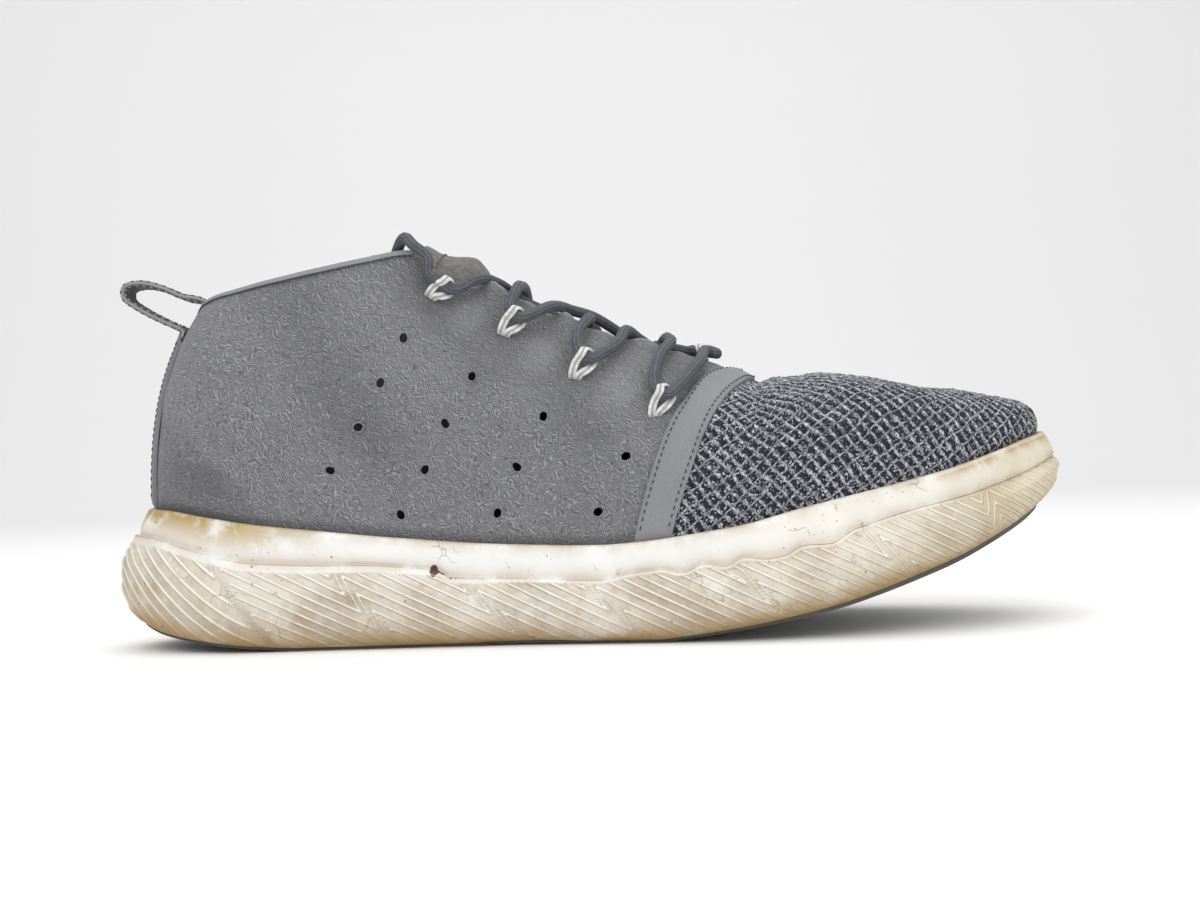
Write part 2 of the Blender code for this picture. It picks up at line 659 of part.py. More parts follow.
def build_loop(name, collection):
    """Cord loop: one leg over the lace and one under it, both from the same spot on the suede."""
    side, s, v = LOOPS[name]
    seat = loop_seat(name)
    forward, up, normal = loop_axes(name)
    ring = (LACE_DIAMETER + LOOP_CORD) / 2 + LOOP_SLACK
    foot = above(side, s, v, 1.5 * GAP + LOOP_CORD / 2)
    path = [foot - forward * LOOP_SPREAD]
    for k, lean in ((148, -0.8), (104, -0.6), (60, -0.3), (15, 0.0), (-32, 0.4), (-82, 0.8)):
        angle = math.radians(k)
        around = up * math.cos(angle) + normal * math.sin(angle)
        path.append(seat + around * ring + forward * LOOP_SPREAD * lean)
    path.append(above(side, s + LOOP_LEAN * 0.6, v + LOOP_REACH * 0.5, 2.5 * GAP + LOOP_CORD / 2))
    path.append(foot + forward * LOOP_SPREAD)
    return build_cord("loop_" + name, collection, "loop", path, LOOP_CORD / 2, 6)


def lace_rise(name, way):
    """Points of the lace from beside a loop up to the throat's edge, and the station there."""
    side, s, v = LOOPS[name]
    s, v = s + LOOP_LEAN, v + LOOP_REACH
    edge = s + LACE_SWING[side, way]
    along, climb = LACE_TURN
    points = [loop_seat(name, LACE_STRAIGHT * way), loop_seat(name, along * way, climb)]
    if v < 0.78:
        points.append(above(side, (s + edge) / 2 + 0.010 * way, (v + 1) / 2, LACE_EDGE + GAP))
    return points + [above(side, edge, 1.0, LACE_EDGE)], edge


def lace_strand(here, leave, there, arrive, middle):
    """Points from one loop across the tongue to the next, without the middles of the loops."""
    side = LOOPS[here][0]
    rise, start = lace_rise(here, leave)
    fall, end = lace_rise(there, arrive)
    points = list(rise)
    for share in (0.25, 0.5, 0.75):
        s = start + (end - start) * share
        flat = above(side, s, 1.0, 0.0).lerp(above(-side, s, 1.0, 0.0), share)
        lift = LACE_EDGE + (middle - LACE_EDGE) * (1 - abs(2 * share - 1))
        points.append(flat + DECK_NORMAL * lift)
    return points + fall[::-1]


def build_laces(collection):
    """One lace through all the loops. Its second half crosses over its first half."""
    first, leave_first = LACE_RUN[0]
    last, leave_last = LACE_RUN[-1]
    path = [loop_seat(first, -LACE_STUB * leave_first), loop_seat(first)]
    for k, ((here, leave), (there, _)) in enumerate(zip(LACE_RUN, LACE_RUN[1:])):
        arrive = 1 if (leave < 0 or here == "medial_1") else -1
        path += lace_strand(here, leave, there, arrive, LACE_MIDDLE[k])
        path.append(loop_seat(there))
    path.append(loop_seat(last, LACE_STUB * leave_last))
    build_cord("lace_crossings", collection, "lace", smooth_path(path, LACE_FACET), LACE_DIAMETER / 2, 6)
    for name, loop, points, side in (
        ("lace_end_lateral", first, END_LATERAL, -1),
        ("lace_end_medial", last, END_MEDIAL, 1),
    ):
        stub = loop_seat(loop, -LACE_STUB)
        away = -loop_forward(loop)
        line = [stub + away * GAP, stub + away * 0.002]
        for s, v, lift in points:
            spot = above(side, s, min(v, 1.0), lift)
            spot.z += max(v - 1.0, 0.0) * COLLAR_RISE
            line.append(spot)
        build_cord(name, collection, "lace", smooth_path(line, LACE_FACET * 0.8), LACE_DIAMETER / 2, 6)


def build_pull_tab(collection):
    """Flat strap from the back seam, round in a loop behind the heel and over the collar's edge."""
    bm = bmesh.new()
    spread = [STAY_REACH * 0.86 * k / 2 for k in range(-2, 3)]
    top = upper_point(-1, 0.0, 1.0)
    middle = [top + Vector((x, 0, z)) * TAB_REACH for x, z in TAB_LINE]
    outer = [(v, OVERLAY_GAP, OVERLAY_GAP + TAB_THICK) for v in (0.835, 0.88, 0.92)]
    inner = [(v, -WALL - 2 * OVERLAY_GAP, -WALL - 2 * OVERLAY_GAP - TAB_THICK) for v in (0.95, 0.89, 0.82)]
    rings = []

    def fixed(v, near, far):
        spots = [(-1 if reach < 0 else 1, abs(reach), v) for reach in spread]
        rings.append([above(*spot, near) for spot in spots] + [above(*spot, far) for spot in reversed(spots)])

    for row in outer:
        fixed(*row)
    for i, p in enumerate(middle):
        before = middle[i - 1] if i else above(-1, 0.0, 0.92, OVERLAY_GAP + TAB_THICK / 2)
        last = i + 1 == len(middle)
        after = above(-1, 0.0, 0.95, -WALL - 2 * OVERLAY_GAP) if last else middle[i + 1]
        along = (after - before).normalized()
        near = Vector((along.z, 0, -along.x)) * TAB_THICK / 2
        ys = [TAB_WIDTH / 2 * k / 2 for k in range(-2, 3)]
        curl = (2 * i / (len(middle) - 1) - 1) ** 2 * TAB_CURL
        bent = [Vector((curl * (2 * y / TAB_WIDTH) ** 2, y, 0)) for y in ys]
        rings.append([p + near + shift for shift in bent] + [p - near + shift for shift in reversed(bent)])
    for row in inner:
        fixed(*row)
    rings = [[bm.verts.new(p) for p in ring] for ring in rings]
    join_rings(bm, rings)
    bm.faces.new(rings[0])
    bm.faces.new(rings[-1][::-1])
    return add_object("pull_tab", mesh_from("pull_tab", bm), collection, "tab")


def build_insole(collection):
    """Loose insole on the footbed, inside the upper's wall."""
    bm = bmesh.new()

    def edge(side, s):
        return upper_inset(s) + WALL + 3 * GAP

    low = sole_ring(bm, edge, lambda side, x: bed_z(x) + GAP, stations=36)
    high = sole_ring(bm, edge, lambda side, x: bed_z(x) + GAP + INSOLE_THICK, stations=36)
    join_rings(bm, [low, high])
    cap_ring(bm, low)
    cap_ring(bm, high)
    return add_object("insole", mesh_from("insole", bm), collection, "insole")


def main():
    clear_scene()
    shoe = bpy.data.collections.new("sneaker")
    bpy.context.scene.collection.children.link(shoe)
    build_outsole(shoe)
    build_midsole(shoe)
    build_insole(shoe)
    build_upper(shoe)
    build_band(shoe)
    build_heel_stay(shoe)
    build_tongue(shoe)
    for name in LOOPS:
        build_loop(name, shoe)
    build_laces(shoe)
    build_pull_tab(shoe)


main()
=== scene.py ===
import math

import bmesh
import bpy
import numpy as np
from mathutils import Matrix, Vector


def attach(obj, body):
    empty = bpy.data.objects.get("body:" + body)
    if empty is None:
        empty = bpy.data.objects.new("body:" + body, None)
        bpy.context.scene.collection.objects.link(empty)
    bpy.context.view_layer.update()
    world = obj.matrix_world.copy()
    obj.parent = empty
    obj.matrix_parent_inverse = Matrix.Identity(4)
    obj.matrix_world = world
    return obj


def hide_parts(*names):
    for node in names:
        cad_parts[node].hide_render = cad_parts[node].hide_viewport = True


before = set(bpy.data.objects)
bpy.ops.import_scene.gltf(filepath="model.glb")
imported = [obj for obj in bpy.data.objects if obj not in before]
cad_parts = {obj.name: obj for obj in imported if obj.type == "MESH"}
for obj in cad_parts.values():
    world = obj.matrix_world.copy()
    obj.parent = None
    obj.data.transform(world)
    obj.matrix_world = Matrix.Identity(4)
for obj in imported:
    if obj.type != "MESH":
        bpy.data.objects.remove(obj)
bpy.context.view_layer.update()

# Sizes shared with the CAD part, in metres unless said otherwise
LENGTH = 0.300
BALL_WIDTH = 0.110
HEEL_WIDTH = 0.077
SOLE_HEIGHT = 0.044
COLLAR_RISE = 0.088     # collar's front corner above the rand
TOE_BOX_RISE = 0.038    # top of the toe box above the rand
HEEL_REST = 0.081       # heel end to the middle of the heel's flat spot
WALL = 0.0022           # knit or suede with its lining
GAP = 0.0003            # between pieces that touch
OUTSOLE_THICK = 0.0026
OUTSOLE_INSET = 0.0066  # outsole's edge inside the widest line of the sole
RAND_THICK = 0.0028     # lip of the midsole around the upper
RAND_CUP = 0.0105       # footbed below the top of the rand
RAND_DEPTH = 0.010      # smooth band of the rand, above the ribbed wall
STEP_OUT = 0.0016       # ribbed wall stands out from the rand
INSOLE_THICK = 0.004
BAND_THICK = 0.0013
STAY_THICK = 0.0011
STAY_REACH = 0.008      # stations from the back seam to the strip's edge
STAY_TOP = 0.80         # share of the section where the strip ends
OVERLAY_GAP = 0.0006
TONGUE_THICK = 0.0042
TONGUE_CLEAR = 0.0009   # between the tongue and the wall above it
TONGUE_BULGE = 0.0036   # tongue's middle above a line between the throat's edges, where its share is 1
LACE_DIAMETER = 0.0035
LOOP_CORD = 0.0018
LOOP_SLACK = 0.0004     # clearance between a loop and the lace in it
TAB_REACH = 0.0234      # pull tab's tip behind the collar
TAB_WIDTH = 0.014
TAB_THICK = 0.0015
TAB_CURL = 0.0020       # strap's edges forward of its middle where it lies on the heel

# A station is a share of the sole's length from the heel end. A side is -1 for lateral and 1 for medial.
# Sole outline: station, lateral and medial half width as shares of the local width
OUTLINE = (
    (0.00, 0.000, 0.000), (0.03, 0.286, 0.276), (0.08, 0.420, 0.408), (0.15, 0.487, 0.480),
    (0.25, 0.485, 0.478), (0.35, 0.458, 0.432), (0.45, 0.440, 0.396), (0.55, 0.453, 0.405),
    (0.63, 0.480, 0.448), (0.70, 0.488, 0.491), (0.77, 0.470, 0.504), (0.84, 0.420, 0.480),
    (0.91, 0.320, 0.397), (0.96, 0.196, 0.286), (1.00, -0.062, 0.062),
)
# How far the local width has gone from the heel's to the ball's
BALL_BLEND = ((0.0, 0.0), (0.2, 0.0), (0.65, 1.0), (1.0, 1.0))
# Heights of the sole, as shares of its height
TREAD_Z = (
    (0.00, 0.195), (0.03, 0.168), (0.056, 0.118), (0.10, 0.064), (0.14, 0.030), (0.18, 0.008), (0.205, 0.0),
    (0.37, 0.0), (0.40, 0.007), (0.44, 0.009), (0.475, 0.004), (0.49, 0.0), (0.56, 0.0), (0.585, 0.018),
    (0.62, 0.050), (0.66, 0.091), (0.70, 0.140), (0.74, 0.197), (0.78, 0.275), (0.82, 0.362),
    (0.864, 0.464), (0.907, 0.586), (0.945, 0.700), (0.975, 0.800), (1.00, 0.870),
)
RAND_Z = (
    (0.00, 1.010), (0.06, 0.990), (0.107, 0.936), (0.157, 0.877), (0.207, 0.832), (0.307, 0.752),
    (0.407, 0.691), (0.507, 0.666), (0.547, 0.682), (0.605, 0.732), (0.653, 0.786), (0.70, 0.868),
    (0.753, 0.948), (0.803, 1.020), (0.857, 1.102), (0.91, 1.205), (0.95, 1.285), (1.00, 1.360),
)
# Depth of the rand's smooth band on each side, as shares of RAND_DEPTH
BAND_LATERAL = (
    (0.00, 0.85), (0.048, 0.90), (0.08, 1.05), (0.111, 1.15), (0.143, 1.20), (0.20, 1.12), (0.295, 0.90),
    (0.343, 0.90), (0.356, 1.10), (0.438, 1.03), (0.505, 1.07), (0.535, 0.93), (0.563, 0.90), (0.588, 1.10),
    (0.607, 0.95), (0.629, 1.12), (0.645, 0.98), (0.67, 1.20), (0.687, 1.25), (0.703, 1.12), (0.733, 1.26),
    (0.757, 1.02), (0.827, 0.90), (0.887, 0.98), (0.928, 1.00), (0.987, 0.80), (1.00, 0.75),
)
BAND_MEDIAL = (
    (0.00, 0.85), (0.12, 0.97), (0.245, 1.04), (0.37, 0.90), (0.494, 0.82), (0.545, 0.80), (0.569, 0.97),
    (0.596, 0.75), (0.616, 0.94), (0.643, 0.72), (0.657, 0.89), (0.671, 0.72), (0.70, 0.92), (0.728, 0.75),
    (0.752, 0.97), (0.779, 0.70), (0.796, 0.90), (0.823, 0.55), (0.857, 0.52), (0.95, 0.60), (1.00, 0.75),
)
WALL_TOP_INSET = 0.66   # top of the ribbed wall inside the widest line, as a share of OUTSOLE_INSET
# Upper's outline inside the widest line of the sole, as a share of the heel width
UPPER_INSET = ((0.00, 0.150), (0.10, 0.130), (0.30, 0.110), (0.60, 0.104), (0.90, 0.092), (1.00, 0.086))
# Top line of each section. Station, x, lateral y and medial y as shares of the length, rise above the rand as
# shares of the collar's and the toe box's rise, sweep of the arch in degrees, and bulge as a share of WALL
TOP = (
    (0.000, 0.090, 0.000, 0.000, 0.700, 0.00, 50, 0.0),
    (0.030, 0.103, -0.032, 0.032, 0.732, 0.00, 50, 0.2),
    (0.080, 0.132, -0.064, 0.064, 0.775, 0.00, 48, 0.5),
    (0.150, 0.176, -0.086, 0.086, 0.838, 0.00, 46, 0.9),
    (0.220, 0.230, -0.094, 0.095, 0.905, 0.00, 46, 1.2),
    (0.280, 0.280, -0.090, 0.094, 0.962, 0.00, 48, 1.4),
    (0.325, 0.325, -0.079, 0.086, 1.000, 0.00, 52, 1.5),
    (0.360, 0.358, -0.068, 0.078, 0.906, 0.00, 56, 1.6),
    (0.410, 0.409, -0.058, 0.071, 0.890, 0.00, 60, 1.7),
    (0.455, 0.456, -0.054, 0.067, 0.812, 0.00, 62, 1.8),
    (0.500, 0.504, -0.048, 0.062, 0.752, 0.00, 64, 1.8),
    (0.550, 0.560, -0.038, 0.054, 0.674, 0.00, 68, 1.8),
    (0.585, 0.600, -0.022, 0.040, 0.625, 0.00, 74, 1.8),
    (0.610, 0.628, 0.009, 0.009, 0.520, 0.17, 80, 1.8),
    (0.650, 0.666, 0.010, 0.010, 0.240, 0.63, 84, 1.8),
    (0.672, 0.684, 0.010, 0.010, 0.100, 0.84, 86, 1.8),
    (0.695, 0.702, 0.010, 0.010, 0.020, 1.02, 87, 1.9),
    (0.740, 0.733, 0.011, 0.011, 0.000, 1.00, 88, 1.9),
    (0.800, 0.776, 0.012, 0.012, 0.000, 0.87, 88, 1.8),
    (0.860, 0.812, 0.013, 0.013, 0.000, 0.72, 88, 1.6),
    (0.920, 0.843, 0.015, 0.015, 0.000, 0.55, 86, 1.3),
    (0.960, 0.860, 0.016, 0.016, 0.000, 0.46, 84, 1.1),
    (1.000, 0.872, 0.017, 0.017, 0.000, 0.37, 82, 0.9),
)
THROAT_TOP = 0.325      # station of the collar's front corner
THROAT_END = 0.610      # station where the throat closes
ARCH_POWER = 2.3        # 2 is an ellipse, more is boxier
RAND_ROW = 0.1          # share of a section's rows that stands inside the rand
# Band over the vamp: share of the section above the rand, station of its rear edge and width in stations
BAND_LATERAL_LINE = ((0.0, 0.536, 0.036), (0.4, 0.572, 0.040), (0.7, 0.606, 0.036), (1.0, 0.645, 0.019))
BAND_MEDIAL_LINE = ((0.0, 0.580, 0.036), (0.4, 0.604, 0.038), (0.7, 0.624, 0.034), (1.0, 0.645, 0.019))
# Side of each loop, and the station and the share of the section of its foot
LOOPS = {
    "lateral_1": (-1, 0.562, 0.54), "lateral_2": (-1, 0.486, 0.67),
    "lateral_3": (-1, 0.417, 0.76), "lateral_4": (-1, 0.345, 0.86),
    "medial_1": (1, 0.596, 0.87), "medial_2": (1, 0.543, 0.88),
    "medial_3": (1, 0.482, 0.89), "medial_4": (1, 0.412, 0.89),
}
LOOP_LEAN = 0.010       # stations from a loop's foot forward to the lace in it
LOOP_REACH = 0.052      # share of the section from a loop's foot up to the lace in it
# Order of the loops along the lace, and whether the lace leaves each one towards the toe or the heel
LACE_RUN = (
    ("lateral_4", 1), ("medial_3", 1), ("lateral_2", 1), ("medial_1", 1),
    ("lateral_1", -1), ("medial_2", -1), ("lateral_3", -1), ("medial_4", -1),
)
LACE_STRAIGHT = 0.0012  # straight run of the lace to each side of a loop
LACE_TURN = (0.0031, 0.0019)    # and from there, along and up, to where it has turned to the throat
LACE_STUB = 0.0050      # from the lace in the top loops to where its free ends begin
LACE_EDGE = 0.0034      # middle of the lace above the edges of the throat
# Middle of each strand above the line between those edges: three below, one over the vamp, three over them
LACE_MIDDLE = (0.0010, 0.0010, 0.0010, 0.0030, 0.0050, 0.0050, 0.0050)
# Stations from a loop to where its strand meets the throat's edge, by side and whether it leaves to the toe
LACE_SWING = {(-1, 1): 0.034, (-1, -1): 0.0, (1, 1): 0.012, (1, -1): -0.016}
DECK_NORMAL = Vector((0.33, 0.0, 0.944))
# Free ends of the lace: station, share of the section and lift, from the top loop over the edge
END_LATERAL = (
    (0.334, 0.958, 0.0050), (0.324, 1.000, 0.0046), (0.318, 1.040, 0.0012), (0.312, 1.000, -0.0056),
    (0.309, 0.940, -0.0062), (0.306, 0.860, -0.0062), (0.304, 0.780, -0.0062),
)
END_MEDIAL = (
    (0.395, 0.985, 0.0056), (0.365, 1.000, 0.0062), (0.338, 1.000, 0.0044), (0.322, 1.030, 0.0012),
    (0.314, 1.000, -0.0050), (0.311, 0.930, -0.0056), (0.308, 0.850, -0.0056),
)
# Tongue's bulge along the throat, as a share of TONGUE_BULGE
TONGUE_RISE = (
    (0.325, 0.5), (0.345, 1.5), (0.360, 2.3), (0.375, 2.5), (0.390, 1.7), (0.405, 0.3), (0.42, -0.5),
    (0.44, -0.6), (0.4625, 0.15), (0.480, -0.55), (0.495, -0.65), (0.512, -0.5), (0.53, 0.15),
    (0.548, -0.5), (0.565, -0.65), (0.62, -0.6),
)
# Pull tab between its two fixed ends, as shares of its reach from the top of the back seam
TAB_LINE = (
    (-0.25, -0.23), (-0.53, -0.08), (-0.82, 0.10), (-0.97, 0.23), (-0.96, 0.37), (-0.76, 0.42), (-0.47, 0.35),
    (-0.20, 0.22), (-0.01, 0.18), (0.12, 0.11), (0.19, 0.00),
)

# Half the span over which directions on the sole and the upper are measured, in stations and in shares
PROBE = 0.004
PROBE_SHARE = 0.01
CURVES = {}


def curve_of(table, column):
    """A table's curve as its knots, values, steps and tangents, worked out once."""
    key = id(table), column
    if key not in CURVES:
        xs = np.array([row[0] for row in table], float)
        ys = np.array([row[column] for row in table], float)
        steps = np.diff(xs)
        slopes = np.diff(ys) / steps
        tangents = np.zeros(len(xs))
        tangents[0], tangents[-1] = slopes[0], slopes[-1]
        before, after = slopes[:-1], slopes[1:]
        same = before * after > 0
        tangents[1:-1] = np.where(same, 2 * before * after / np.where(same, before + after, 1.0), 0.0)
        CURVES[key] = table, xs, ys, steps, tangents
    return CURVES[key]


def through(table, s, column=1):
    """Values at s, a number or an array, of a smooth curve through a table's rows."""
    _, xs, ys, steps, tangents = curve_of(table, column)
    s = np.clip(np.asarray(s, float), xs[0], xs[-1])
    k = np.clip(np.searchsorted(xs, s, side="right") - 1, 0, len(xs) - 2)
    t = (s - xs[k]) / steps[k]
    return (
        (2 * t**3 - 3 * t**2 + 1) * ys[k] + (3 * t**2 - 2 * t**3) * ys[k + 1]
        + steps[k] * ((t**3 - 2 * t**2 + t) * tangents[k] + (t**3 - t**2) * tangents[k + 1])
    )


# The outline's half widths over an angle, so that they are round at both ends
HALF_WIDTH = {
    side: tuple((math.acos(1 - 2 * row[0]), row[column]) for row in OUTLINE)
    for side, column in ((-1, 1), (1, 2))
}


def outline(side, s):
    s = np.clip(s, 0.0, 1.0)
    width = HEEL_WIDTH + (BALL_WIDTH - HEEL_WIDTH) * through(BALL_BLEND, s)
    half = through(HALF_WIDTH[side], np.arccos(1 - 2 * s)) * width
    return np.stack([s * LENGTH, side * half], -1)


def outward(side, s):
    s = np.asarray(s, float)
    step = np.clip(np.minimum(0.5 * s, 0.5 * (1 - s)), 1e-7, PROBE)
    along = outline(side, s + step) - outline(side, s - step)
    normal = np.stack([side * -along[..., 1], side * along[..., 0]], -1)
    size = np.linalg.norm(normal, axis=-1, keepdims=True)
    normal = normal / np.where(size > 0, size, 1.0)
    normal[s < 1e-6] = (-1.0, 0.0)
    normal[s > 1 - 1e-6] = (1.0, 0.0)
    return normal


def inset_point(side, s, inset):
    return outline(side, s) - outward(side, s) * np.asarray(inset)[..., None]


def tread_z(x):
    return through(TREAD_Z, x / LENGTH) * SOLE_HEIGHT


def rand_z(x):
    return through(RAND_Z, x / LENGTH) * SOLE_HEIGHT


def step_z(side, x):
    return rand_z(x) - through(BAND_LATERAL if side < 0 else BAND_MEDIAL, x / LENGTH) * RAND_DEPTH


def upper_inset(s):
    return through(UPPER_INSET, s) * HEEL_WIDTH


def upper_point(side, s, v):
    """Points of the upper's outer face, for arrays of stations and shares of the section."""
    s, v = np.broadcast_arrays(np.asarray(s, float), np.asarray(v, float))
    foot = inset_point(side, s, upper_inset(s))
    rand = rand_z(foot[..., 0])
    low = rand - RAND_CUP + GAP
    share = np.clip((v - RAND_ROW) / (1 - RAND_ROW), 0, 1)
    top = np.stack([through(TOP, s, 1), through(TOP, s, 2 if side < 0 else 3)], -1) * LENGTH
    rise = through(TOP, s, 4) * COLLAR_RISE + through(TOP, s, 5) * TOE_BOX_RISE
    sweep = np.radians(through(TOP, s, 6))
    angle = share * sweep
    in_share = (1 - np.cos(angle) ** (2 / ARCH_POWER)) / (1 - np.cos(sweep) ** (2 / ARCH_POWER))
    up_share = (np.sin(angle) / np.sin(sweep)) ** (2 / ARCH_POWER)
    bulge = through(TOP, s, 7) * WALL * np.sin(np.pi * share) ** 2
    flat = foot + (top - foot) * in_share[..., None] + outward(side, s) * bulge[..., None]
    height = np.where(v <= RAND_ROW, low + (rand - low) * v / RAND_ROW, rand + rise * up_share)
    return np.stack([flat[..., 0] - HEEL_REST, flat[..., 1], height], -1)


def upper_normal(side, s, v):
    s, v = np.broadcast_arrays(np.asarray(s, float), np.asarray(v, float))
    along = upper_point(side, np.minimum(s + PROBE, 1), v) - upper_point(side, np.maximum(s - PROBE, 0), v)
    high, low = np.minimum(v + PROBE_SHARE, 1), np.maximum(v - PROBE_SHARE, 0)
    up = upper_point(side, s, high) - upper_point(side, s, low)
    normal = np.cross(along, up) * -side
    return normal / np.linalg.norm(normal, axis=-1, keepdims=True)


def above(side, s, v, lift):
    """One point over the upper, as a Vector."""
    return Vector(upper_point(side, s, v) + upper_normal(side, s, v) * lift)


def above_all(side, s, v, lift=0.0):
    """Points over the upper for arrays of sides, stations and shares."""
    side, s, v, lift = np.broadcast_arrays(side, s, v, lift)
    points = np.zeros(side.shape + (3,))
    for one in (-1, 1):
        here = side == one
        if here.any():
            flat = upper_normal(one, s[here], v[here]) * lift[here][:, None]
            points[here] = upper_point(one, s[here], v[here]) + flat
    return points


def unit(vectors):
    return vectors / np.maximum(np.linalg.norm(vectors, axis=-1, keepdims=True), 1e-12)


def side_view(points):
    """The points' x from the heel end and z, both in millimetres."""
    return (points[..., 0] + HEEL_REST) * 1000, points[..., 2] * 1000


def from_whole(x):
    """How far each value is from the nearest whole number."""
    return np.abs(x - np.round(x))


def noise(points, scale, seed=0):
    """Smooth noise of about -1 to 1 for an array of points, from sums of turned sine waves."""
    waves, usual_sum = 10, 4.5
    rng = np.random.default_rng(seed)
    total = np.zeros(points.shape[:-1])
    for _ in range(waves):
        direction = rng.normal(size=3)
        direction /= np.linalg.norm(direction)
        wave = 2 * math.pi / scale * rng.uniform(0.7, 1.5)
        total += np.sin(points @ direction * wave + rng.uniform(0, 6.3))
    return total / usual_sum


def smoothstep(low, high, x):
    t = np.clip((x - low) / (high - low), 0, 1)
    return t * t * (3 - 2 * t)


# Materials
# Colours are linear. Scales are in features to a metre. A ramp goes from its low end to its high end and a fall
# from 1 to 0. over() lays a colour on as far as the product of its factors says.

def new_material(name, colour, roughness, sheen=0.0):
    made = bpy.data.materials.new(name)
    made.use_nodes = True
    shader = made.node_tree.nodes["Principled BSDF"]
    shader.inputs["Base Color"].default_value = (*colour, 1)
    shader.inputs["Roughness"].default_value = roughness
    shader.inputs["Sheen Weight"].default_value = sheen
    shader.inputs["Sheen Roughness"].default_value = 0.5
    made.diffuse_color = (*colour, 1)
    return made


class Nodes:
    """Short ways to add nodes to a material."""

    def __init__(self, material):
        self.material = material
        self.tree = material.node_tree
        self.shader = self.tree.nodes["Principled BSDF"]
        self.place = self.tree.nodes.new("ShaderNodeTexCoord").outputs["Object"]

    def link(self, a, b):
        self.tree.links.new(a, b)

    def give(self, socket, value):
        """Set a socket to a number or a colour, or link another socket to it."""
        if isinstance(value, (int, float)):
            socket.default_value = value
        elif isinstance(value, tuple):
            socket.default_value = (*value, 1)
        else:
            self.link(value, socket)

    def attribute(self, name):
        node = self.tree.nodes.new("ShaderNodeAttribute")
        node.attribute_name = name
        return node.outputs["Fac"]

    def moved(self, x, y, z):
        node = self.tree.nodes.new("ShaderNodeVectorMath")
        self.link(self.place, node.inputs[0])
        node.inputs[1].default_value = (x, y, z)
        return node.outputs[0]

    def noise(self, scale, detail=3.0, roughness=0.55, distortion=0.0, where=None):
        node = self.tree.nodes.new("ShaderNodeTexNoise")
        node.inputs["Scale"].default_value = scale
        node.inputs["Detail"].default_value = detail
        node.inputs["Roughness"].default_value = roughness
        node.inputs["Distortion"].default_value = distortion
        self.link(where or self.place, node.inputs["Vector"])
        return node.outputs["Fac"]

    def vector_noise(self, scale):
        node = self.tree.nodes.new("ShaderNodeTexNoise")
        node.inputs["Scale"].default_value = scale
        self.link(self.place, node.inputs["Vector"])
        return node.outputs["Color"]

    def voronoi(self, scale, feature="F1", where=None):
        node = self.tree.nodes.new("ShaderNodeTexVoronoi")
        node.feature = feature
        node.inputs["Scale"].default_value = scale
        self.link(where or self.place, node.inputs["Vector"])
        return node.outputs["Distance"]

    def math(self, kind, a, b=0.0):
        node = self.tree.nodes.new("ShaderNodeMath")
        node.operation = kind
        self.give(node.inputs[0], a)
        self.give(node.inputs[1], b)
        return node.outputs[0]

    def product(self, first, *others):
        for other in others:
            first = self.math("MULTIPLY", first, other)
        return first

    def ramp(self, value, low, high, out_low=0.0, out_high=1.0):
        node = self.tree.nodes.new("ShaderNodeMapRange")
        node.interpolation_type = "SMOOTHSTEP"
        node.inputs["From Min"].default_value = low
        node.inputs["From Max"].default_value = high
        node.inputs["To Min"].default_value = out_low
        node.inputs["To Max"].default_value = out_high
        self.link(value, node.inputs["Value"])
        return node.outputs["Result"]

    def fall(self, value, low, high):
        return self.ramp(value, low, high, 1.0, 0.0)

    def mix(self, factor, a, b):
        node = self.tree.nodes.new("ShaderNodeMix")
        node.data_type = "RGBA"
        for place, value in ((0, factor), (6, a), (7, b)):
            self.give(node.inputs[place], value)
        return node.outputs[2]

    def over(self, base, colour, *factors):
        return self.mix(self.product(*factors), base, colour)

    def bump(self, height, strength, distance, under=None):
        node = self.tree.nodes.new("ShaderNodeBump")
        node.inputs["Strength"].default_value = strength
        node.inputs["Distance"].default_value = distance
        self.link(height, node.inputs["Height"])
        if under:
            self.link(under, node.inputs["Normal"])
        return node.outputs["Normal"]

    def finish(self, colour, normal, roughness=None):
        """Link the results to the shader and give the material."""
        for name, value in (("Base Color", colour), ("Normal", normal), ("Roughness", roughness)):
            if value:
                self.link(value, self.shader.inputs[name])
        return self.material


def suede_material():
    n = Nodes(new_material("suede", (0.175, 0.177, 0.183), 0.95, 0.12))
    base = n.mix(n.noise(38, 4, 0.6), (0.127, 0.128, 0.134), (0.177, 0.178, 0.186))
    # Curled fibres: a folded noise less the same one moved is negative on one flank of a curl, positive on the
    # other; the first flank gets painted shade and the second painted highlight, as if lit from one side
    curls = [
        n.math("PINGPONG", n.product(n.noise(330, 1.3, 0.45, 1.1, where), 5.6), 0.5)
        for where in (n.place, n.moved(0.00017, 0.00010, 0.00017))
    ]
    flank_shade_and_highlight = n.math("SUBTRACT", *curls)
    broken = n.ramp(n.noise(480, 2), 0.30, 0.52)
    # Painted shade on one flank of each curl, painted highlight on the other
    base = n.over(base, (0.058, 0.059, 0.064), n.ramp(flank_shade_and_highlight, -0.03, -0.19), 0.60)
    base = n.over(base, (0.335, 0.34, 0.352), n.ramp(flank_shade_and_highlight, 0.03, 0.19), broken, 0.62)
    # Pale specks, pits, and what the mesh brings: a darker heel patch and pressed rings with painted shade and
    # shadow, and a paler throat edge with painted highlight
    base = n.over(base, (0.42, 0.42, 0.43), n.ramp(n.noise(2000, 2), 0.60, 0.72, 0.0, 0.18))
    pits = n.product(n.fall(n.voronoi(190), 0.05, 0.09), n.ramp(n.noise(90, 2), 0.52, 0.58))
    base = n.over(base, (0.030, 0.030, 0.034), pits, 0.7)
    # Painted shadow along the rand and painted shade in the creases and round the loops' feet, with the darker
    # heel patch and pressed rings
    base = n.over(base, (0.052, 0.053, 0.058), n.attribute("dark"))
    # Painted highlight on the swells between the loops, with the paler throat edge
    base = n.over(base, (0.34, 0.343, 0.355), n.attribute("light"))
    height = n.math("ADD", curls[0], n.product(n.noise(1500, 3), 0.5))
    return n.finish(base, n.bump(height, 0.5, 0.0004))


